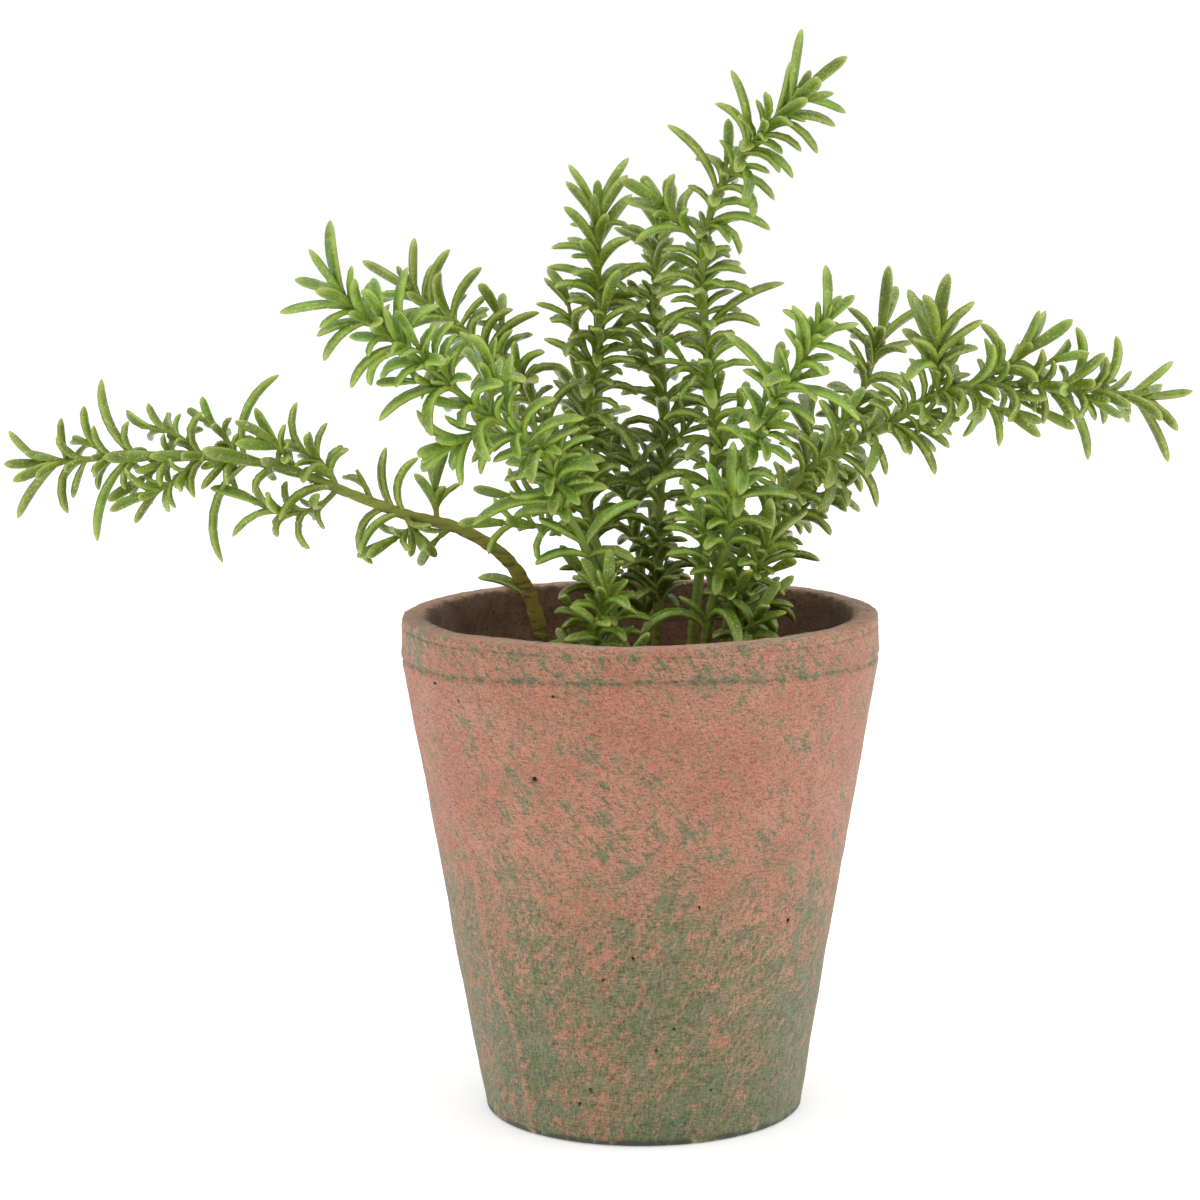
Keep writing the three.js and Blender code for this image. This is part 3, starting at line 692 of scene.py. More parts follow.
deselect_all()
middle = (0, 0, SOIL_TOP - SOIL_DEPTH / 2)
bpy.ops.mesh.primitive_cylinder_add(
    vertices=SOIL_SIDES, radius=SOIL_RADIUS, depth=SOIL_DEPTH, location=middle, end_fill_type="NGON")
soil = bpy.context.object
bpy.ops.object.transform_apply(location=True)
bpy.ops.object.mode_set(mode="EDIT")
pick(soil, lambda face: face.normal.z > 0.9, "FACE")
for _ in range(SOIL_RINGS):
    bpy.ops.mesh.inset(thickness=SOIL_RADIUS / (SOIL_RINGS + 1))
bpy.ops.mesh.poke()
bpy.ops.object.mode_set(mode="OBJECT")


def soil_height(x, y):
    """The height of the lumpy surface over a place, as an array."""
    lumps = all_waves(np.stack([x, y, np.zeros_like(x)], axis=1), SOIL_WAVES)
    return SOIL_TOP + lumps * MM * np.clip((SOIL_RADIUS - np.hypot(x, y)) / (4 * MM), 0, 1)


places = vertex_places(soil)
top = places[:, 2] > SOIL_TOP - 0.1 * MM
places[top, 2] = soil_height(places[top, 0], places[top, 1])
move_vertices(soil, places)
lowest, highest = places[top, 2].min() / MM, places[top, 2].max() / MM
print("soil lumps between", round(lowest, 1), "and", round(highest, 1), "mm")

# %% [markdown]
# ## Crumbs of soil
#
# Potting soil is made of crumbs of peat and bark. One crumb is modelled from a ball whose corners are pushed
# in and out, and copies of it in many sizes are half sunk in the surface.

# %% Scatter the crumbs
CRUMBS = 620
LARGEST_CRUMB = 2.3
deselect_all()
bpy.ops.mesh.primitive_ico_sphere_add(subdivisions=1, radius=1)
crumb = bpy.context.object
draws = np.random.default_rng(31)
crumb_places = vertex_places(crumb) * draws.uniform(0.7, 1.15, size=(len(crumb.data.vertices), 1))
crumbs = []
for _ in range(CRUMBS):
    away = (SOIL_RADIUS - 1.5 * MM) * math.sqrt(draws.uniform())
    angle = draws.uniform(0, 2 * math.pi)
    size = MM * min(LARGEST_CRUMB, 0.55 + draws.exponential(0.45))
    spin = Matrix.Rotation(draws.uniform(0, 6.28), 3, "Z") @ Matrix.Rotation(draws.uniform(0, 6.28), 3, "X")
    shape = crumb_places * size * draws.uniform(0.6, 1.25, size=3)
    x, y = away * math.cos(angle), away * math.sin(angle)
    height = soil_height(np.array([x]), np.array([y]))[0]
    copy = put_in_scene("crumb", crumb.data.copy())
    move_vertices(copy, shape @ np.array(spin).T + (x, y, height + 0.15 * size))
    crumbs.append(copy)
bpy.data.objects.remove(crumb)
select_only(soil, *crumbs)
bpy.ops.object.join()
print("soil with", CRUMBS, "crumbs")

# %% [markdown]
# ## The soil's finish
#
# Wet peat is nearly black and dries to brown, and chips of bark are paler. Three colours mixed by two noises
# and a third noise as a bump are enough, because little of the soil shows between the stems.

# %% Colour the soil
WET_PEAT = (0.020, 0.012, 0.008)
DRY_PEAT = (0.070, 0.043, 0.026)
BARK_CHIP = (0.16, 0.10, 0.055)

earth = Finish("potting_soil")
grid = earth.place()
lumps = earth.noise(grid, 3.5, detail=5, roughness=0.65)
peat = earth.mix(earth.step(lumps, 0.35, 0.65), WET_PEAT, DRY_PEAT)
chips = earth.step(earth.noise(grid, 1.6, detail=2), 0.62, 0.70)
earth_material = earth.finish({
    "Base Color": earth.mix(earth.times(chips, 0.6), peat, BARK_CHIP),
    "Roughness": 0.95,
    "Specular IOR Level": 0.2,
    "Normal": earth.bump(earth.noise(grid, 0.7, detail=5, roughness=0.7), 0.8, 0.6),
})
dress(soil, "potting_soil", earth_material)
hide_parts("soil")

# %% [markdown]
# ## How the plant grows
#
# Each stem follows a smooth line from the soil to its tip. Some needles in the photograph stand out as
# longer ones, and short side shoots carry needles of their own, so those are listed one by one, as in the
# CAD model. The needles between them follow a rule, with seeded draws for the small differences between
# them.

# %% Where the stems, long leaves and side shoots are
# A route runs from the soil to the tip, in millimetres. Radii are those of the root and the tip, needle is
# the length of a usual needle, gap is what lies between two nodes, and leafy_to is how far back from the tip
# there are needles. Leaves are (back from the tip, turn round the stem, length, lean, curl), and sprigs are
# the same with their needle length. Fresh says how young and bright the green is. The stems at the back get
# low values, so it is partly painted shade.
STEMS = []


def stem(name, leaves=(), sprigs=(), **growth):
    STEMS.append(dict(name=name, leaves=leaves, sprigs=sprigs, **growth))


stem("stem_left_long", seed=11, radii=(2.1, 0.8), needle=9.5, gap=14, leafy_to=70, fresh=0.5,
     route=[(-22, -5, 104), (-23.5, -6, 114), (-25.3, -6, 124), (-28.8, -6, 135), (-35, -7, 143.5),
            (-45.5, -8, 150), (-58, -9, 153.5), (-73, -10, 159.5), (-88, -10, 165.5), (-106, -9, 168.5),
            (-125, -6, 168.5), (-150, -2, 166.5)],
     leaves=[(1, 290, 10, 8, 5), (1, 0, 12, 33, 28), (5, 190, 18, 31, 35), (7, 5, 11, 75, 25),
             (8, 190, 14, 48, 70), (12, 172, 11, 50, 25), (25, 2, 22, 38, 62), (24, 190, 24, 35, 60),
             (53, 10, 25, 60, 85), (54, 187, 29, 38, 92), (49, 215, 11, 55, 10), (58, 280, 17, 17, 20),
             (76, 210, 18, 16, 80), (95, 12, 17, 30, 110), (92, 22, 17, 34, 60), (94, 200, 16, 23, 80),
             (90, 162, 20, 32, 130), (135, 152, 16, 25, 60), (31, 272, 14, 11, 10), (42, 262, 13, 12, 8),
             (70, 268, 14, 12, 10)],
     sprigs=[(41, 8, 17, 53, -60, 8), (50, 27, 15, 72, -60, 6.5), (77, 6, 20, 48, -70, 10),
             (41, 200, 19, 63, -50, 8), (77, 194, 25, 78, -100, 8.5), (95, 235, 9, 112, 40, 7.5),
             (103, 20, 11, 75, 0, 8)])
stem("stem_left_front", seed=23, radii=(1.7, 0.8), needle=12, gap=10.5, leafy_to=86, fresh=0.85,
     route=[(-8, -14, 104), (-9, -14, 118), (-10, -14, 128.5), (-10.5, -15, 137.5), (-13, -16, 144),
            (-15.5, -18, 150), (-19, -20, 156.5), (-20.5, -23, 163), (-23, -26, 169), (-26.5, -28, 173.5),
            (-32, -30, 177.5), (-39, -32, 182), (-48, -36, 190), (-56, -39, 197), (-65, -41, 204),
            (-71, -43, 211)],
     leaves=[(1, 35, 18, 22, 30), (1.5, 0, 14, 0, 8), (1, 135, 13, 42, 12), (4, 180, 17, 46, 22),
             (6, 210, 11, 48, 45), (10, 190, 15, 47, 68), (10, 45, 11, 49, 30), (20, 192, 17, 37, 75),
             (17, 130, 12, 46, 10), (20, 320, 12, 27, 15), (21, 16, 20, 31, 50), (37, 180, 21, 27, 72),
             (73, 190, 14, 30, 70), (73, 2, 12, 56, 60), (74, 210, 14, 92, -40), (74, 295, 10, 90, 30),
             (66, 183, 14, 20, 80), (64, 345, 12, 65, 50), (60, 350, 15, 80, 70), (55, 30, 19, 44, 40),
             (80, 188, 24, 47, 70), (96, 198, 15, 34, 70), (96, 328, 14, 60, 95), (92, 178, 13, 26, 20),
             (93, 16, 19, 44, 70)],
     sprigs=[(50, 186, 14, 66, -20, 12), (48, 353, 13, 66, -15, 12), (38, 344, 16, 20, -20, 8)])
stem("stem_left_back", seed=37, radii=(1.6, 0.8), needle=12, gap=10, leafy_to=84, fresh=0.45,
     route=[(-7, 10, 104), (-6, 9, 118), (-8, 10, 134), (-13, 11, 149), (-18, 13, 162), (-23, 16, 173.5),
            (-29.5, 19, 182), (-37.5, 22, 190), (-46.5, 25, 199), (-54, 28, 203), (-59, 30, 208)],
     leaves=[(1.5, 205, 15, 14, 8), (3, 3, 15, 31, 18), (2.5, 290, 8, 49, 5), (6, 15, 11, 45, 30),
             (9, 352, 17, 52, 60), (15, 8, 16, 60, 50), (18, 17, 11, 70, 30), (2, 168, 13, 48, 30),
             (28, 0, 18, 65, 62), (24, 187, 22, 53, 80), (40, 12, 14, 60, 100)],
     sprigs=[(72, 193, 20, 80, -20, 8), (57, 207, 18, 80, -30, 9), (34, 15, 16, 50, -20, 9)])
stem("stem_centre_left", seed=41, radii=(1.6, 0.85), needle=12, gap=10, leafy_to=104, fresh=0.45,
     route=[(-6, 20, 104), (-7, 19, 116), (-10, 18, 128), (-12, 18, 140), (-13, 18, 156), (-13, 18, 174),
            (-11, 18, 188), (-10, 18, 204), (-10, 18, 216), (-10, 18, 228)],
     leaves=[(2, 180, 15, 16, 25), (3.5, 190, 14, 30, 22), (2, 7, 17, 15, 28), (4, 343, 16, 24, 28),
             (6.5, 164, 8, 41, 60), (5.5, 346, 9, 40, 85), (12.5, 190, 13, 41, 72), (20, 167, 15, 37, 65),
             (23, 193, 15, 36, 80), (23.5, 355, 17, 25, 55), (43, 188, 17, 30, 60), (54, 162, 14, 26, 40),
             (55, 335, 19, 65, 110)],
     sprigs=[(40, 198, 21, 40, -25, 9.5), (40, 279, 19, 38, -35, 9.5)])
stem("stem_tall", seed=53, radii=(1.8, 0.85), needle=11.5, gap=10, leafy_to=136, fresh=0.6,
     route=[(12, 3, 104), (13, 4, 118), (15, 5, 135), (18, 6, 152), (19, 6, 170), (18, 6, 185), (17, 6, 198),
            (16, 5, 209), (17, 4, 221), (20, 2, 232), (26, 0, 241), (33, -2, 249), (42, -4.5, 258)],
     leaves=[(5.5, 167, 18, 44, -10), (2, 50, 14, 5, 10), (4, 6, 13, 42, 40), (11, 351, 14, 55, 60),
             (12, 285, 13, 23, 20), (21, 179, 20, 35, 35), (21, 1, 14, 50, 70), (29, 8, 14, 52, 70),
             (26, 311, 14, 64, 110), (35, 180, 22, 32, 55), (43, 354, 17, 40, 85), (43, 5, 13, 68, 110),
             (45, 305, 12, 31, 120), (56, 0, 12, 48, 75), (60, 346, 14, 55, 75), (70, 9, 24, 40, 50),
             (61, 194, 13, 47, 80), (66, 22, 11, 65, 60), (53, 313, 11, 30, 60), (110, 193, 20, 39, 110),
             (65, 199, 13, 60, 90)],
     sprigs=[(49, 175, 17, 52, 0, 11)])
stem("stem_centre_back", seed=67, radii=(1.6, 0.8), needle=12, gap=10.5, leafy_to=98, fresh=0.3,
     route=[(4, 14, 104), (4, 15, 116), (5, 17, 130), (5, 20, 143), (6, 23, 158), (7, 26, 173), (6, 29, 192),
            (5, 31, 204), (5, 33, 216), (7, 34, 222)],
     leaves=[(7, 181, 13, 46, 30), (32, 165, 13, 25, 30), (30, 15, 12, 31, 30), (65, 154, 12, 25, 20),
             (94, 187, 10, 38, 30), (94, 325, 10, 20, 70)],
     sprigs=[(50, 20, 15, 45, -20, 9)])
stem("stem_right_front", seed=71, radii=(1.8, 0.85), needle=11, gap=10.5, leafy_to=78, fresh=0.8,
     route=[(16, -10, 104), (16, -10, 120), (18, -12, 132), (20, -14, 141), (22, -16, 151), (24, -19, 161),
            (27, -22, 170), (30, -25, 178), (34, -28, 185), (38, -30, 191), (41, -32, 197), (45, -34, 203)],
     leaves=[(1.5, 158, 14, 24, 25), (1.5, 60, 10, 15, 25), (5, 346, 11, 29, 20), (7, 176, 11, 42, 65),
             (12, 148, 9, 43, 45), (8, 348, 13, 50, 60), (24, 176, 21, 45, 50), (19, 199, 10, 32, 30),
             (22, 356, 22, 36, 80), (89, 195, 23, 25, 150), (86, 318, 22, 24, 135), (86, 199, 11, 41, 30),
             (71, 289, 12, 81, 60), (56, 210, 19, 16, -10), (53, 20, 17, 56, 60)],
     sprigs=[(80, 183, 25, 20, 0, 8)])
stem("stem_right_long", seed=83, radii=(1.9, 0.75), needle=10.5, gap=10.5, leafy_to=118, fresh=0.5,
     route=[(22, 0, 104), (21.5, 0, 118), (23, 0, 130), (26, 0, 142), (31, -1, 151), (38, -2, 159),
            (46, -4, 166), (55, -6, 171), (62, -8, 175), (69, -9, 180), (76, -10, 183.5), (86, -10, 185),
            (96, -9, 184.5), (107, -7, 184), (116, -5, 182.5), (126, -4, 180.5)],
     leaves=[(1, 195, 13, 16, 6), (4, 173, 14, 43, 10), (1.5, 327, 13, 15, 40), (3, 356, 19, 36, 28),
             (12, 185, 15, 50, 70), (22, 216, 14, 40, 25), (20, 173, 16, 46, 80), (25, 354, 22, 31, 60),
             (20, 314, 12, 25, 120), (28, 350, 11, 65, 50), (52, 318, 15, 57, 120), (63, 191, 12, 65, 70),
             (60, 156, 10, 55, 50), (70, 21, 16, 33, 50), (67, 352, 19, 50, 60), (69, 342, 15, 50, 50),
             (72, 311, 13, 85, 60), (75, 9, 12, 55, 70), (83, 7, 19, 46, 75), (90, 321, 16, 38, 150)],
     sprigs=[(53, 201, 17, 77, -15, 14), (47, 342, 14, 54, -30, 9), (45, 159, 19, 20, 10, 10)])
stem("stem_right_back", seed=97, radii=(1.6, 0.8), needle=12, gap=10, leafy_to=92, fresh=0.25,
     route=[(22, 12, 104), (24, 13, 116), (28, 15, 128), (33, 17, 140), (41, 20, 152), (49, 23, 164),
            (54, 26, 173), (59, 29, 182), (62, 31, 191), (64, 33, 198)],
     leaves=[(10, 173, 13, 30, 60), (15, 163, 11, 36, 20), (13, 225, 9, 30, 15)],
     sprigs=[(44, 180, 15, 45, -10, 10), (52, 20, 14, 50, -20, 9)])
stem("stem_back", seed=127, radii=(1.5, 0.8), needle=12, gap=10.5, leafy_to=74, fresh=0.3,
     route=[(3, 25, 104), (2, 28, 120), (0, 33, 138), (-4, 40, 154), (-9, 48, 168), (-15, 56, 180)],
     sprigs=[(40, 0, 16, 50, -20, 9), (30, 180, 14, 50, -20, 9)])
stem("sprig_front_left", seed=103, radii=(1.3, 0.8), needle=9.2, gap=7.5, leafy_to=28, fresh=0.6,
     route=[(-13, -21, 104), (-11, -21, 116), (-10.5, -21, 123), (-10, -22, 129), (-9, -24, 134),
            (-8, -26, 138)],
     sprigs=[(14, 180, 13, 60, -30, 6.5), (22, 195, 12, 60, -30, 6), (13, 0, 10, 55, -20, 6.5),
             (20, 345, 12, 55, -20, 6)])
stem("sprig_front_right", seed=109, radii=(1.3, 0.75), needle=10, gap=8, leafy_to=34, fresh=0.5,
     route=[(27, -12, 104), (25, -12, 115), (24.5, -12, 125), (27, -12, 135.5), (30, -13, 142.5),
            (31.5, -13, 148)],
     leaves=[(22, 20, 12, 60, 90)],
     sprigs=[(20, 0, 10, 55, -20, 7), (12, 350, 8, 50, -20, 7)])
print(len(STEMS), "stems")

# %% [markdown]
# ## Lines for stems and needles
#
# A stem's line is a Catmull-Rom curve, which passes through every point of its route. A needle's middle line
# is an arc: it leaves the stem at its lean and bends away by its curl. From here on lengths are in
# millimetres, and they become metres where a mesh is made.

# %% Smooth lines and arcs
BACKWARD = np.array([0.0, 1.0, 0.0])
BENDS_PER_STRETCH = 8


def unit(vector):
    return vector / np.linalg.norm(vector)


class Path:
    """A smooth line through points, measured along its own length."""

    def __init__(self, points):
        points = np.array(points, float)
        ends = [2 * points[0] - points[1], *points, 2 * points[-1] - points[-2]]
        line = [points[0]]
        for a, b, c, d in zip(ends, ends[1:], ends[2:], ends[3:]):
            leave, arrive = (c - a) / 2, (d - b) / 2
            square, cube = -3 * b + 3 * c - 2 * leave - arrive, 2 * b - 2 * c + leave + arrive
            for t in np.arange(1, BENDS_PER_STRETCH + 1) / BENDS_PER_STRETCH:
                line.append(b + leave * t + (square * t ** 2 + cube * t ** 3))
        self.line = np.array(line)
        self.along = np.concatenate([[0], np.cumsum(np.linalg.norm(np.diff(self.line, axis=0), axis=1))])
        self.length = self.along[-1]

    def point(self, distance):
        """The place at a distance from the start. Past an end the last stretch goes on straight."""
        i = int(np.clip(np.searchsorted(self.along, distance), 1, len(self.line) - 1))
        share = (distance - self.along[i - 1]) / (self.along[i] - self.along[i - 1])
        return self.line[i - 1] * (1 - share) + self.line[i] * share

    def frame(self, distance):
        """The place there, and the directions along the line, to its right and to its back."""
        tangent = unit(self.point(distance + 1) - self.point(distance - 1))
        right = unit(np.cross(BACKWARD, tangent))
        return self.point(distance), tangent, right, np.cross(tangent, right)


class Arc:
    """The middle line of a needle or side shoot. Its turn is counted from the stem's right to its back."""

    def __init__(self, frame_at, turn, lean, curl, length, sway=0.0):
        self.root, self.tangent, right, back = frame_at
        self.length = length
        self.away = right * math.cos(math.radians(turn)) + back * math.sin(math.radians(turn))
        self.side = np.cross(self.tangent, self.away)
        self.start = math.radians(lean)
        self.bend = math.radians(1 if abs(curl) < 1 else curl)
        self.sway = sway

    def points(self, shares):
        shares = np.asarray(shares, float)
        angles = self.start + self.bend * shares
        forward = self.length * (np.sin(angles) - math.sin(self.start)) / self.bend
        outward = self.length * (math.cos(self.start) - np.cos(angles)) / self.bend
        sideways = self.sway * self.length * shares ** 2
        return (self.root + np.outer(forward, self.tangent) + np.outer(outward, self.away)
                + np.outer(sideways, self.side))

    def tops(self, shares):
        """The directions that the needle's upper side faces."""
        angles = self.start + self.bend * np.asarray(shares, float)
        return np.outer(np.sin(angles), self.tangent) - np.outer(np.cos(angles), self.away)


print("a test arc ends at", Arc(Path([(0, 0, 0), (0, 0, 9)]).frame(4), 0, 30, 60, 10).points([1])[0].round(2))

# %% [markdown]
# ## Finding room for each needle
#
# Needles of one stem may touch near their roots, but they never run through another stem or the pot. Each new
# needle is tried at its wished turn and size, then turned and shortened a little, and left out if there is no
# room. A few balls along each needle and stem stand for it in this test.

# %% The rule that keeps needles apart
# Clear is what stays free between stems, with less of it beside a needle that is grown by the rule. Needles
# of one stem are only kept apart over their outer parts, by the distance touch.
CLEAR = 0.45
GROWN_CLEAR = 0.08
TOUCH = 0.05
OUTER_PART = 0.45
TRY_TURNS = (0, 22, -22, 44, -44)
TRY_SIZES = (1, 0.8, 0.62)
NEEDLE_BALLS = 6
SPRIG_BALLS = 8
AXIL_SHOOT_BALLS = 4
LOOK_AROUND = 5
SOIL_LUMP = 1.2
taken = {"at": np.zeros((0, 3)), "radius": np.zeros(0), "stem": np.zeros(0, int), "outer": np.zeros(0, bool)}


def between(low, high, share):
    return low + (high - low) * share


def needle_room(length):
    """How wide the room is that a needle of this length is given."""
    return min(3.9, 1.6 + 0.12 * length)


def needle_shape(share):
    """That width at a share of the length: a narrow root, a wide middle and a blunt tip."""
    swell = 0.42 + 0.58 * np.sin(np.minimum(1, share / 0.55) * math.pi / 2)
    tip = np.maximum(0, (share - 0.55) / 0.45)
    return swell * np.sqrt(np.maximum(0, 1 - tip ** 2.4))


def take(at, radius, stem_number, outer):
    """Notes that these balls are taken by a stem."""
    rows = {"at": at, "radius": radius, "stem": np.full(len(at), stem_number), "outer": outer}
    for name, values in rows.items():
        taken[name] = np.concatenate([taken[name], values])


def is_free(at, radius, stem_number, outer, clear):
    """Whether balls of these places and radii would touch neither the pot nor the soil nor another stem."""
    reach = radius + CLEAR
    inner = np.array([wall_radius(z * MM) for z in at[:, 2]]) / MM - WALL / MM
    low = at[:, 2] <= POT_HEIGHT / MM + reach
    above_soil = at[:, 2] > SOIL_TOP / MM + SOIL_LUMP + reach
    in_pot = above_soil & (np.hypot(at[:, 0], at[:, 1]) + reach < inner)
    if np.any(low & ~in_pot):
        return False
    middle = at.mean(axis=0)
    near = np.abs(taken["at"] - middle).max(axis=1) < np.abs(at - middle).max() + LOOK_AROUND
    others = {name: values[near] for name, values in taken.items()}
    apart = np.linalg.norm(at[:, None] - others["at"][None], axis=2)
    same = others["stem"] == stem_number
    room = radius[:, None] + (others["radius"] + np.where(same, min(TOUCH, clear), clear))[None]
    counts = ~same[None] | (outer[:, None] & others["outer"][None])
    return not np.any(counts & (apart <= room))


def place_arc(frame_at, stem_number, wish, balls, radius_at, clear=CLEAR):
    """The first arc near this wish that there is room for, or None."""
    shares = np.arange(1, balls + 1) / balls
    for size in TRY_SIZES:
        for turned in TRY_TURNS:
            length = wish["length"] * size
            arc = Arc(frame_at, **{**wish, "length": length, "turn": wish["turn"] + turned})
            at, radius, outer = arc.points(shares), radius_at(shares, length), shares > OUTER_PART
            if is_free(at, radius, stem_number, outer, clear):
                take(at, radius, stem_number, outer)
                return arc
    return None


print("a 15 mm needle is given", round(needle_room(15), 2), "mm of room")

# %% [markdown]
# ## The listed needles and side shoots
#
# The whole plant is laid out as lines before any mesh is made. First the stems take their room, then the
# listed side shoots and the listed long needles, so that what the photograph shows for certain has the first
# choice. What the rule grows comes last and has to fit between.

# %% Needles and side shoots on a stem
SPRIG_RADII = (0.9, 0.5)
SPRIG_LEAFY = 0.88
STEM_ROOT = 88.5
STEM_BALL_STEP = 2
# Small tufts of the photograph that the CAD model leaves out, listed like its side shoots.
MORE_SPRIGS = {
    "stem_left_long": [(99, 205, 11, 62, -30, 7.5), (86, 25, 9, 50, -10, 7), (107, 170, 9, 55, 20, 7),
                       (66, 340, 12, 50, -30, 7.5), (33, 175, 12, 52, -30, 7.5)],
    "stem_left_front": [(88, 160, 21, 62, 0, 8)],
    "stem_right_long": [(33, 180, 13, 50, -30, 8), (36, 10, 13, 52, -40, 8), (84, 190, 12, 50, -20, 8)],
    "stem_tall": [(84, 185, 13, 50, -25, 8), (98, 350, 12, 50, -25, 8)],
    "sprig_front_left": [(18, 265, 13, 62, -35, 8), (9, 100, 10, 50, -20, 7.5), (27, 310, 14, 72, -40, 8),
                         (27, 225, 14, 72, -40, 8)],
    "sprig_front_right": [(8, 200, 9, 50, -20, 7), (28, 300, 14, 65, -40, 8), (20, 230, 12, 55, -30, 8)],
    "stem_centre_back": [(70, 200, 14, 50, -25, 8.5), (58, 330, 13, 52, -25, 8)],
}


def needle_radii(shares, length):
    return np.maximum(0.5, needle_room(length) / 2 * needle_shape(shares))


def add_needle(plant, path, back, clear=CLEAR, **wish):
    """Grows a needle this far back from the tip of a path, if there is room."""
    arc = place_arc(path.frame(path.length - back), plant["number"], wish, NEEDLE_BALLS, needle_radii, clear)
    if arc:
        arc.age = back
        plant["needles"].append(arc)


def even_radii(radius):
    return lambda shares, _: np.full(len(shares), radius)


def add_sprig(plant, back, turn, length, lean, curl, needle):
    """Grows a side shoot, whose own needles come later."""
    frame_at = plant["path"].frame(plant["path"].length - back)
    wish = dict(turn=turn, length=length, lean=lean, curl=curl)
    arc = place_arc(frame_at, plant["number"], wish, SPRIG_BALLS, even_radii(SPRIG_RADII[0]))
    if arc:
        path = Path(arc.points([0, 0.25, 0.5, 0.75, 1]))
        plant["shoots"].append(dict(path=path, radii=SPRIG_RADII, needle=needle, gap=4 + needle * 0.45,
                                    leafy_to=arc.length * SPRIG_LEAFY, nodes=[]))


plants = []
for number, row in enumerate(STEMS):
    root = (row["route"][0][0], row["route"][0][1], STEM_ROOT)
    path = Path([root, *row["route"]])
    count = math.ceil(path.length / STEM_BALL_STEP)
    at = np.array([path.point(path.length * i / count) for i in range(count + 1)])
    thickness = between(*row["radii"], np.arange(count + 1) / count)
    take(at, thickness, number, np.zeros(count + 1, bool))
    main_shoot = dict(row, path=path, nodes=[])
    plants.append(dict(row, number=number, path=path, shoots=[main_shoot], needles=[]))
for plant in plants:
    for sprig in (*plant["sprigs"], *MORE_SPRIGS.get(plant["name"], ())):
        add_sprig(plant, *sprig)
for plant in plants:
    for back, turn, length, lean, curl in plant["leaves"]:
        add_needle(plant, plant["path"], back, turn=turn, length=length, lean=lean, curl=curl)
print("long needles:", sum(len(plant["needles"]) for plant in plants))

# %% [markdown]
# ## Pairs of needles at the nodes
#
# Rosemary has opposite leaves: at each node of the stem a pair of long needles stands left and right, and
# the next pair stands about crosswise to it. A shorter pair fills the other two sides, small young leaves
# sit in the angle between a needle and the stem, and there very short side shoots grow too. The nodes are
# counted from the tip down: the first needles hug the stem, and lower ones stand open and bend away. The CAD
# model has whorls of four in the same stretches of stem, only fewer of them.

# %% Grow the pairs
# Angles are in degrees, and a range says between which two numbers a seeded draw falls. Lean and curl are
# given for the first node and for an open one.
NODE_SPACING = 0.62
NODES_TO_OPEN = 3
NODE_TURN = 90
PAIRS = [
    dict(sides=(0, 180), wobble=12, length=(1.10, 1.50), lean=(16, 23), curl=(30, 104)),
    dict(sides=(90, 270), wobble=16, length=(0.75, 1.14), lean=(14, 22), curl=(25, 98)),
]
YOUNG_LEAF_SHARE = 0.65
YOUNG_LEAF_HIGHER = 1.3
TIP_TURNS = (30, 150, 270)


def grow_node(plant, shoot, back, node, draws):
    """Two pairs of needles, crosswise, and small young leaves above the first pair."""
    opened = min(1, node / NODES_TO_OPEN)
    shoot["turn"] = shoot.get("turn", 0) + NODE_TURN + draws.uniform(-30, 30)
    cross = shoot["turn"]
    for pair in PAIRS:
        for side in pair["sides"]:
            add_needle(plant, shoot["path"], back + draws.uniform(-0.8, 0.8), GROWN_CLEAR,
                       turn=cross + side + draws.uniform(-pair["wobble"], pair["wobble"]),
                       length=shoot["needle"] * draws.uniform(*pair["length"]),
                       lean=between(*pair["lean"], opened) + draws.uniform(-8, 9),
                       curl=between(*pair["curl"], opened) + draws.uniform(-26, 30),
                       sway=draws.uniform(-0.16, 0.16))
    for side in (0, 180):
        if draws.uniform() < YOUNG_LEAF_SHARE:
            add_needle(plant, shoot["path"], back - YOUNG_LEAF_HIGHER, GROWN_CLEAR,
                       turn=cross + side + draws.uniform(-30, 30),
                       length=shoot["needle"] * draws.uniform(0.36, 0.55),
                       lean=draws.uniform(14, 28),
                       curl=draws.uniform(5, 45))

# %% [markdown]
# ## Rosettes in the angles
#
# In the angle between a needle and the stem, rosemary grows very short side shoots, each a rosette of small
# needles, which make the plant bushy. A seeded draw says at which nodes one grows. Each gets a path and
# nodes of its own, like any other shoot, so that the same rule dresses all of them.

# %% Grow the very short side shoots, and all shoots from tip to root
AXIL_SHOOT_RADII = (0.7, 0.45)
AXIL_SHOOTS_FROM = 8
AXIL_SHOOT_SHARE = 0.72
AXIL_SHOOT_LEAFY = 0.8
AXIL_SHOOT_GAP = 6.5


def add_axil_shoot(plant, shoot, back, draws):
    """A very short side shoot in the angle of a needle, with a rosette of small needles."""
    wish = dict(turn=draws.uniform(0, 360), length=draws.uniform(6, 12), lean=draws.uniform(32, 54),
                curl=draws.uniform(-35, -5))
    frame_at = shoot["path"].frame(shoot["path"].length - back + 1.5)
    radii = even_radii(AXIL_SHOOT_RADII[0])
    arc = place_arc(frame_at, plant["number"], wish, AXIL_SHOOT_BALLS, radii, GROWN_CLEAR)
    if arc:
        path = Path(arc.points([0, 0.33, 0.67, 1]))
        plant["shoots"].append(dict(path=path, radii=AXIL_SHOOT_RADII, needle=draws.uniform(6.5, 9), nodes=[],
                                    gap=AXIL_SHOOT_GAP, leafy_to=arc.length * AXIL_SHOOT_LEAFY))


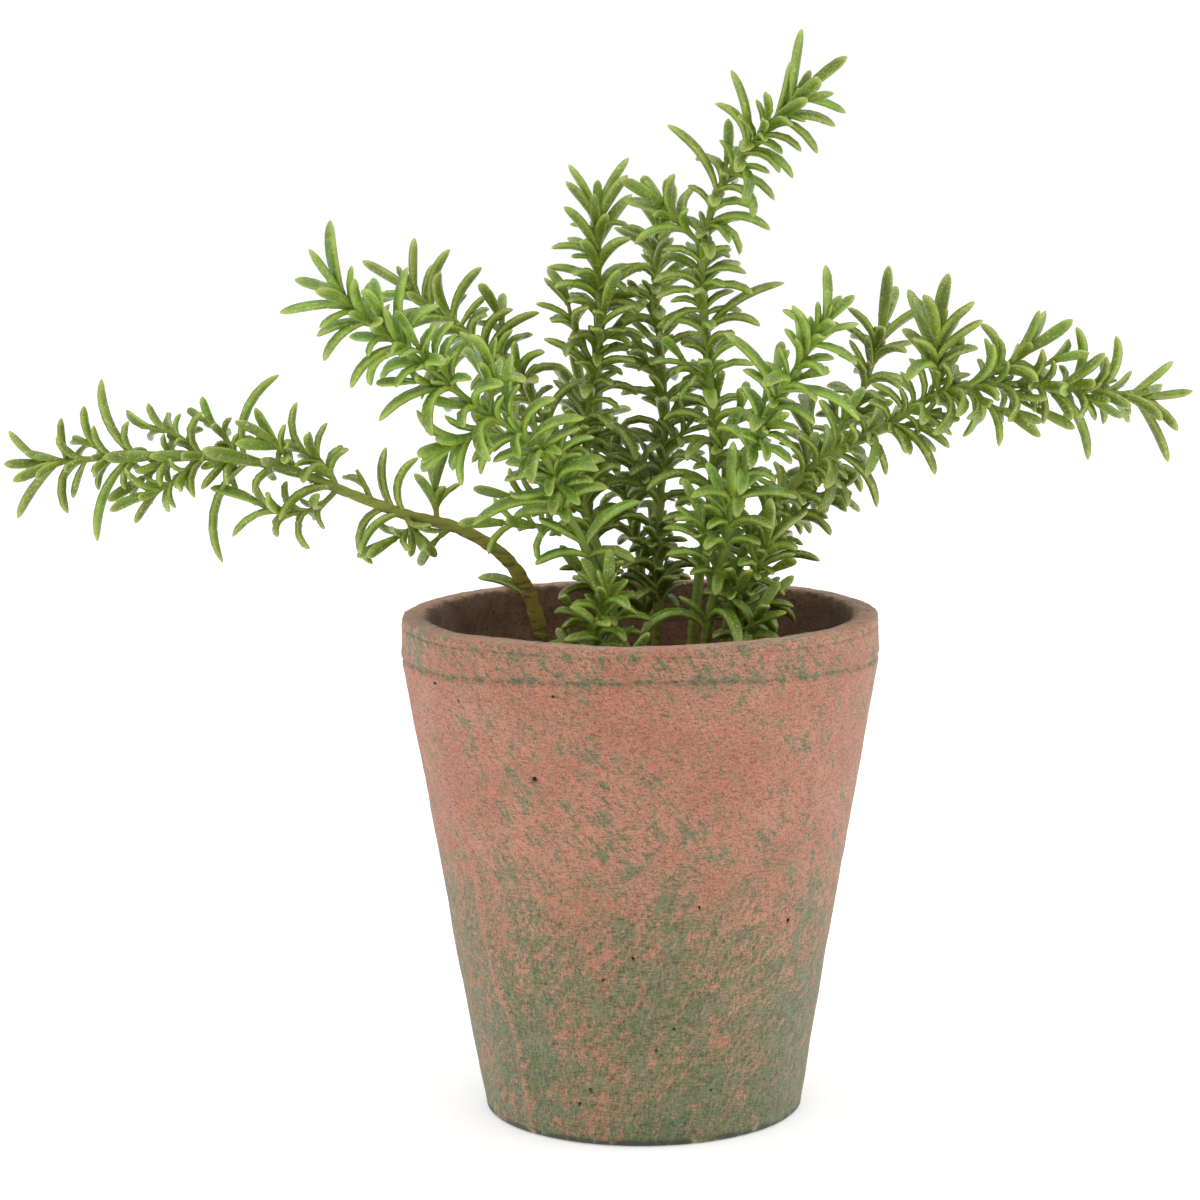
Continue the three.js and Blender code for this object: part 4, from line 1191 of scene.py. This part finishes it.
def grow_shoot(plant, shoot, draws):
    """Three small needles at the tip, then node after node. Short side shoots grow on the main stem alone."""
    for turn in TIP_TURNS:
        length = shoot["needle"] * draws.uniform(0.42, 0.72)
        turned = turn + draws.uniform(-20, 20)
        add_needle(plant, shoot["path"], 1, GROWN_CLEAR, turn=turned, length=length, lean=9, curl=10)
    is_main = shoot is plant["shoots"][0]
    tip_is_listed = is_main and any(leaf[0] < 4 for leaf in plant["leaves"])
    back, node = (6 if tip_is_listed else 3), 0
    while back < shoot["leafy_to"]:
        grow_node(plant, shoot, back, node, draws)
        shoot["nodes"].append(back)
        if is_main and back > AXIL_SHOOTS_FROM and draws.uniform() < AXIL_SHOOT_SHARE:
            add_axil_shoot(plant, shoot, back, draws)
        spread = between(0.75, 1, min(1, node / NODES_TO_OPEN))
        back += shoot["gap"] * NODE_SPACING * spread * draws.uniform(0.78, 1.22)
        node += 1


for plant in plants:
    draws = np.random.default_rng(plant["seed"])
    # The loop reaches the very short side shoots too, because they are added to the end of its list.
    for shoot in plant["shoots"]:
        grow_shoot(plant, shoot, draws)
print("shoots in all:", sum(len(plant["shoots"]) for plant in plants))
print("needles in all:", sum(len(plant["needles"]) for plant in plants))

# %% [markdown]
# ## One needle
#
# A rosemary needle is a thick narrow strap: nearly flat above with a shallow groove along its middle,
# rounded below, narrower where it leaves the stem, and bluntly pointed. It is modelled straight, 1 unit long
# and 1 unit to each side, from a cylinder of eight sides that is flattened, grooved, cut into rings and
# narrowed. It is modelled twice, because a long needle needs more rings to bend smoothly.

# %% Model the needle
# Rings are (share of the length, share of the width).
SHORT_RINGS = [(0.14, 0.66), (0.35, 0.90), (0.60, 1.0), (0.82, 0.90), (0.94, 0.56)]
LONG_RINGS = [(0.07, 0.58), (0.17, 0.70), (0.29, 0.86), (0.42, 0.96), (0.56, 1.0), (0.70, 0.98), (0.82, 0.89),
              (0.915, 0.68), (0.97, 0.40)]
ROOT_WIDTH = 0.60
TIP_WIDTH = 0.14
THICKNESS = 0.70
GROOVE_SINK = 0.44


def model_needle(rings):
    """A straight needle with these rings, which knows how far along and across each of its vertices is."""
    all_rings = [(0, ROOT_WIDTH), *rings, (1, TIP_WIDTH)]
    deselect_all()
    bpy.ops.mesh.primitive_cylinder_add(
        vertices=8, radius=1, depth=1, location=(0, 0, 0.5), end_fill_type="TRIFAN")
    needle = bpy.context.object
    bpy.ops.object.transform_apply(location=True)
    bpy.ops.object.mode_set(mode="EDIT")
    bpy.ops.mesh.select_all(action="SELECT")
    bpy.ops.transform.resize(value=(1, THICKNESS, 1))
    pick(needle, lambda vertex: vertex.co.y > THICKNESS * 0.9)
    bpy.ops.transform.translate(value=(0, -GROOVE_SINK, 0))
    for share, _ in rings:
        bpy.ops.mesh.select_all(action="SELECT")
        bpy.ops.mesh.bisect(plane_co=(0, 0, share), plane_no=(0, 0, 1))
    for share, width in all_rings:
        pick(needle, lambda vertex: abs(vertex.co.z - share) < 0.001)
        bpy.ops.transform.resize(value=(width, width, 1), center_override=(0, 0, share))
    pick(needle, lambda vertex: vertex.co.z < 0.001 and vertex.co.xy.length < 0.01)
    bpy.ops.mesh.dissolve_verts()
    bpy.ops.object.mode_set(mode="OBJECT")
    places = vertex_places(needle)
    ring_width = [min(all_rings, key=lambda ring: abs(ring[0] - z))[1] for z in places[:, 2]]
    paint_vertices(needle, "along", places[:, 2])
    paint_vertices(needle, "across", np.abs(places[:, 0]) / np.array(ring_width))
    paint_vertices(needle, "tint", np.zeros(len(places)))
    bpy.ops.object.shade_smooth()
    return needle


short_needle, long_needle = model_needle(SHORT_RINGS), model_needle(LONG_RINGS)
print("needles have", len(short_needle.data.polygons), "and", len(long_needle.data.polygons), "faces")

# %% [markdown]
# ## Bending the needles
#
# A modifier could bend each needle, but a modifier for each of so many needles would be slow. The vertices
# of each copy are moved straight to their places instead: how far along the needle a vertex is says where on
# the arc it goes, and the arc says which way is across and up.

# %% Bend a copy of the needle along its arc
# A needle is slimmer than the room that was kept for it, above all a short one.
LONG_NEEDLE = 14
LEAST_WIDTH = 0.95
WIDTH_PER_LENGTH = 0.172
WIDEST = 3.6


def lay_needle(arc, tint):
    """A copy of the needle on this arc, as its own mesh."""
    needle = long_needle if arc.length > LONG_NEEDLE else short_needle
    shape = vertex_places(needle)
    half = min(WIDEST, LEAST_WIDTH + WIDTH_PER_LENGTH * arc.length) / 2
    shares = shape[:, 2]
    across = np.outer(shape[:, 0] * half, arc.side)
    up = arc.tops(shares) * (shape[:, 1] * half)[:, None]
    copy = put_in_scene("needle", needle.data.copy())
    move_vertices(copy, (arc.points(shares) + across + up) * MM)
    paint_vertices(copy, "tint", np.full(len(shape), tint))
    return copy


print("needles bend to their arcs")

# %% [markdown]
# ## The shoots
#
# A shoot is a round stem that thins towards its tip and swells a little at each node, where the needles'
# roots run down into it. Near the soil it is woody, brown and knobbly. In Blender that is a curve with a
# round bevel, whose radius is set point by point, then turned into a mesh.

# %% Model a shoot along its line
# The CAD model's stems are a little stout, to be strong enough to print, so they are made slimmer here. Only
# the long stem on the left has an old and thick base. Woody is how far above the soil the bark is brown.
THICKNESS_OF_CAD = 0.82
ROOT_THICKNESS_OF_CAD = {"stem_left_long": 1.15}
WOODY_TO = {"stem_left_long": 70}
WOODY_TO_ELSE = 24
KNOBS = 0.16
NODE_SWELL = 0.30
NODE_SWELL_REACH = 1.3
SHOOT_STEP = 1.4
BEVEL_RESOLUTION = 2


def make_shoot(shoot, tint, woody_to, root_share):
    """A round stem along the shoot's path, swollen at its nodes."""
    path = shoot["path"]
    steps = max(8, int(path.length / SHOOT_STEP))
    curve = bpy.data.curves.new("shoot", "CURVE")
    curve.dimensions = "3D"
    curve.bevel_depth = MM
    curve.bevel_resolution = BEVEL_RESOLUTION
    curve.use_fill_caps = True
    spline = curve.splines.new("POLY")
    spline.points.add(steps)
    for i, point in enumerate(spline.points):
        distance = path.length * i / steps
        from_nodes = [(path.length - distance - back + 0.6) / NODE_SWELL_REACH for back in shoot["nodes"]]
        swell = NODE_SWELL * max((math.exp(-(away ** 2)) for away in from_nodes), default=0)
        place = path.point(distance)
        woody = min(1, max(0, 1.3 - (place[2] - SOIL_TOP / MM) / woody_to))
        knob = KNOBS * woody * math.sin(1.9 * distance) * math.sin(0.77 * distance + 1)
        share_of_cad = between(root_share, THICKNESS_OF_CAD, i / steps)
        point.co = (*(place * MM), 1)
        point.radius = share_of_cad * between(*shoot["radii"], i / steps) * (1 + swell + knob)
    select_only(put_in_scene("shoot", curve))
    bpy.ops.object.convert(target="MESH")
    piece = bpy.context.object
    bpy.ops.object.shade_smooth()
    places = vertex_places(piece)
    paint_vertices(piece, "along", np.clip((places[:, 2] - SOIL_TOP) / MM / woody_to, 0, 1))
    paint_vertices(piece, "tint", np.full(len(places), tint))
    return piece


print("shoots have", 4 + 2 * BEVEL_RESOLUTION, "sides")

# %% [markdown]
# ## The needles' finish
#
# The leaves look like soft, waxy plastic: mid green, a yellow-green point, fine veins, pale specks and a
# broken sheen on top. Some light and shade is painted into the colour: a darker band along the middle of each
# needle is painted shade in its groove, the paler edges are painted light, and the pale specks are partly
# dust and partly painted glints. Front shoots are fresher and brighter, and back shoots darker, partly as
# painted shade.
# The colour follows the needle through the numbers stored on its vertices: how far along it is, how far
# across, and its own tint.

# %% Mix the leaf green
DEEP_GREEN = (0.078, 0.124, 0.004)
# Greens for fresh front needles and for old back ones. The difference is partly painted shade.
FRESH_AND_LIT_GREEN = (0.280, 0.520, 0.038)
OLD_AND_SHADED_GREEN = (0.290, 0.355, 0.010)
# Yellow-green of the point, also used for the painted light on the edges.
TIP_AND_LIT_EDGE_GREEN = (0.500, 0.560, 0.110)
ROOT_GREEN = (0.340, 0.410, 0.045)
# Pale dust, also used for painted glints.
PALE_DUST_AND_GLINT = (0.640, 0.720, 0.340)

leaf = Finish("rosemary_leaf")
grid = leaf.place()
tint = leaf.attribute("tint")
along = leaf.attribute("along")
across = leaf.attribute("across")
cloud = leaf.noise(grid, 5, detail=3)
grain = leaf.noise(grid, 0.5, detail=3, roughness=0.65)
# The veins' own coordinates: they run along the needle, and the tint makes them differ between needles.
vein_lines = leaf.add("CombineXYZ", {
    "X": leaf.times(across, 5.0),
    "Y": leaf.times(along, 3.0),
    "Z": leaf.times(tint, 60.0),
}).outputs["Vector"]
veins = leaf.noise(vein_lines, 1.0, detail=3, roughness=0.6)
# Paler edges: painted light on the thin margins.
edge = leaf.ramp(across, [(0.0, 0.0), (0.80, 0.0), (1.0, 0.80)])
edge = leaf.times(edge, leaf.ramp(cloud, [(0.3, 1), (0.7, 0.4)]))
# Pale specks, partly dust and partly painted glints.
specks = leaf.times(leaf.step(leaf.noise(grid, 0.65, detail=2), 0.58, 0.64), 0.60)
specks = leaf.times(specks, leaf.ramp(leaf.noise(grid, 4), [(0.4, 0.3), (0.6, 1.0)]))

green = leaf.mix(leaf.step(tint, 0.0, 1.0), OLD_AND_SHADED_GREEN, FRESH_AND_LIT_GREEN)
layers = [
    # A low tint adds deep green, partly for age and partly as painted shade.
    (leaf.ramp(tint, [(0.05, 0.62), (0.50, 0.12), (0.80, 0.0)]), DEEP_GREEN),
    (leaf.times(leaf.step(cloud, 0.42, 0.60), 0.40), DEEP_GREEN),
    (leaf.times(leaf.step(grain, 0.50, 0.68), 0.25), DEEP_GREEN),
    # A darker band along the middle of the needle is painted shade in its groove.
    (leaf.ramp(across, [(0.0, 0.52), (0.5, 0.20), (0.8, 0.0)]), DEEP_GREEN),
    (leaf.times(leaf.step(veins, 0.56, 0.64), 0.14), PALE_DUST_AND_GLINT),
    (leaf.times(leaf.step(veins, 0.46, 0.36), 0.16), DEEP_GREEN),
    (leaf.ramp(along, [(0.0, 0.75), (0.24, 0.20), (0.5, 0.0), (0.8, 0.0)]), ROOT_GREEN),
    # Paler edges are painted light, where light shines through the thin margin and glances off it.
    (edge, TIP_AND_LIT_EDGE_GREEN),
    (leaf.ramp(along, [(0.80, 0.0), (0.93, 0.40), (1.0, 0.95)]), TIP_AND_LIT_EDGE_GREEN),
    # Pale specks are partly dust and partly painted glints.
    (specks, PALE_DUST_AND_GLINT),
]
for share, paint in layers:
    green = leaf.mix(share, green, paint)
leaf_material = leaf.finish({
    "Base Color": green,
    "Roughness": leaf.ramp(grain, [(0.35, 0.17), (0.65, 0.38)]),
    "Specular IOR Level": 0.5,
    "Coat Weight": 0.28,
    "Coat Roughness": 0.25,
    "Coat IOR": 1.45,
    "Sheen Weight": 0.05,
    "Sheen Roughness": 0.35,
    "Sheen Tint": (0.75, 1.0, 0.30, 1),
    "Subsurface Weight": 0.08,
    "Subsurface Radius": (0.6, 1.0, 0.25),
    "Subsurface Scale": 1.2 * MM,
    "Normal": leaf.bump(leaf.plus(grain, leaf.times(veins, 1.2)), 0.55, 0.35),
})
print("leaf green mixed in", len(layers) + 1, "layers")

# %% [markdown]
# ## The stems' finish
#
# Young stems are green like the needles, and the stems at the back are darker, partly their own colour and
# partly painted shade. Old ones turn to wood from the soil up: brown, streaked and wrinkled, with painted
# shade in the wrinkles. The height above the soil is stored on the vertices, so one material does both.

# %% Mix the stem green
STEM_GREEN = (0.220, 0.275, 0.030)
STEM_YOUNG_AND_LIT = (0.250, 0.400, 0.060)
WOODY = (0.265, 0.182, 0.024)
# Painted shade for the wrinkles of the bark.
CREASE_SHADE = (0.052, 0.036, 0.010)

bark = Finish("rosemary_stem")
grid = bark.place()
streak = bark.noise(bark.place(scale=(1, 1, 0.3)), 1.2, detail=4)
# Back stems are darker too, partly as painted shade.
skin = bark.mix(bark.attribute("tint"), STEM_GREEN, STEM_YOUNG_AND_LIT)
woody = bark.ramp(bark.attribute("along"), [(0.0, 1.0), (0.45, 0.95), (0.70, 0.45), (1.0, 0.1)])
woody = bark.times(woody, bark.ramp(streak, [(0.3, 0.8), (0.6, 1.0)]))
skin = bark.mix(woody, skin, WOODY)
wrinkles = bark.noise(bark.place(scale=(0.35, 0.35, 1.3)), 1.5, detail=3)
# Dark colour in the low parts of the wrinkles is painted shade.
skin = bark.mix(bark.times(bark.times(bark.step(wrinkles, 0.50, 0.40), woody), 0.75), skin, CREASE_SHADE)
stem_material = bark.finish({
    "Base Color": skin,
    "Roughness": 0.5,
    "Specular IOR Level": 0.4,
    "Subsurface Weight": 0.1,
    "Subsurface Radius": (0.6, 1.0, 0.25),
    "Subsurface Scale": 1.0 * MM,
    "Normal": bark.bump(bark.plus(streak, wrinkles), 0.8, 0.5),
})
print("stem green mixed")

# %% [markdown]
# ## Whole stems
#
# Each stem grew as one piece with its needles and side shoots, as in the CAD model, so all of it is joined
# into one mesh. Its shoots and needles get their materials first, because joining keeps those, and their
# tint is stored on their vertices, so that one material can give every needle its own green.

# %% Put each stem together
# Needles further from the tip are older and lie deeper in the bush, so they are darker, partly by age and
# partly as painted shade: their tint falls by this much for each millimetre.
AGE_AND_SHADE_DARKENING = 0.0014

for plant in plants:
    draws = np.random.default_rng(plant["seed"] + 1000)
    woody_to = WOODY_TO.get(plant["name"], WOODY_TO_ELSE)
    root_share = ROOT_THICKNESS_OF_CAD.get(plant["name"], THICKNESS_OF_CAD)
    main_stem = make_shoot(plant["shoots"][0], plant["fresh"], woody_to, root_share)
    shoots = [main_stem]
    for shoot in plant["shoots"][1:]:
        shoots.append(make_shoot(shoot, plant["fresh"], woody_to, THICKNESS_OF_CAD))
    needles = []
    for arc in plant["needles"]:
        freshness = plant["fresh"] - AGE_AND_SHADE_DARKENING * arc.age + draws.uniform(-0.24, 0.24)
        needles.append(lay_needle(arc, np.clip(freshness, 0, 1)))
    for piece in shoots:
        piece.data.materials.append(stem_material)
    for piece in needles:
        piece.data.materials.append(leaf_material)
    select_only(*shoots, *needles)
    bpy.ops.object.join()
    main_stem.name = main_stem.data.name = "rosemary_" + plant["name"]
    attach(main_stem, "root")
    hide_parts(plant["name"])
    print(main_stem.name, "has", len(needles), "needles and", len(main_stem.data.polygons), "faces")
for needle in (short_needle, long_needle):
    bpy.data.objects.remove(needle)

# %% [markdown]
# ## The studio
#
# The photograph is lit by large soft lamps from both sides in a white room, so the pot is a little darker in
# the middle and no hard shadow falls. The floor is pale, and a round white backdrop stands far behind it on
# all sides. The backdrop is only for the camera: it sheds no light on the plant and casts no shadow.

# %% Floor and backdrop
STUDIO_RADIUS = 4
BACKDROP_HEIGHT = 5
BELOW_FLOOR = 0.01

floor_material = Finish("pale_floor").finish({
    "Base Color": (0.92, 0.92, 0.92, 1),
    "Roughness": 0.9,
    "Emission Color": (1, 1, 1, 1),
    "Emission Strength": 0.32,
})
deselect_all()
bpy.ops.mesh.primitive_circle_add(vertices=64, radius=STUDIO_RADIUS, fill_type="NGON")
floor = bpy.context.object
floor.name = "floor"
floor.data.materials.append(floor_material)
backdrop_material = Finish("white_backdrop").finish({
    "Base Color": (0, 0, 0, 1),
    "Specular IOR Level": 0.0,
    "Emission Color": (1, 1, 1, 1),
    "Emission Strength": 1.0,
})
middle = (0, 0, BACKDROP_HEIGHT / 2 - BELOW_FLOOR)
bpy.ops.mesh.primitive_cylinder_add(
    vertices=64, radius=STUDIO_RADIUS * 0.98, depth=BACKDROP_HEIGHT, location=middle, end_fill_type="NOTHING")
backdrop = bpy.context.object
backdrop.name = "backdrop"
backdrop.data.materials.append(backdrop_material)
backdrop.visible_diffuse = backdrop.visible_glossy = backdrop.visible_shadow = False
print("floor and backdrop", STUDIO_RADIUS, "m round")

# %% [markdown]
# ## The lamps
#
# Two tall soft lamps stand left and right, the right one a little stronger, and a third hangs above. The
# white room around them is a sky that is brightest overhead, which fills the shadows.

# %% Lamps and the light of the room
def softbox(name, place, size, power):
    """A soft rectangular lamp that looks at the middle of the plant."""
    lamp_data = bpy.data.lights.new(name, "AREA")
    lamp_data.shape = "RECTANGLE"
    lamp_data.size, lamp_data.size_y = size
    lamp_data.energy = power
    lamp = put_in_scene(name, lamp_data)
    towards = PLANT_MIDDLE - Vector(place)
    lamp.matrix_world = Matrix.Translation(place) @ towards.to_track_quat("-Z", "Y").to_matrix().to_4x4()


softbox("left_softbox", (-1.2, 0.05, 0.6), (0.8, 1.2), 3.2)
softbox("right_softbox", (1.2, 0.05, 0.6), (0.8, 1.2), 4.4)
softbox("top_softbox", (0, -0.1, 1.4), (1.0, 1.0), 4)

# The white room is brightest overhead.
SKY_OVERHEAD = 1.05
SKY_AROUND = 0.42
world = bpy.data.worlds.new("white_room")
bpy.context.scene.world = world
world.use_nodes = True
nodes, links = world.node_tree.nodes, world.node_tree.links
background = nodes["Background"]
direction = nodes.new("ShaderNodeSeparateXYZ")
links.new(nodes.new("ShaderNodeTexCoord").outputs["Generated"], direction.inputs["Vector"])
strength = nodes.new("ShaderNodeMapRange")
strength.inputs["To Min"].default_value = SKY_AROUND
strength.inputs["To Max"].default_value = SKY_OVERHEAD
links.new(direction.outputs["Z"], strength.inputs["Value"])
links.new(strength.outputs["Result"], background.inputs["Strength"])
background.inputs["Color"].default_value = (1, 1, 1, 1)
bpy.context.scene.view_settings.view_transform = "Standard"
print("studio ready")
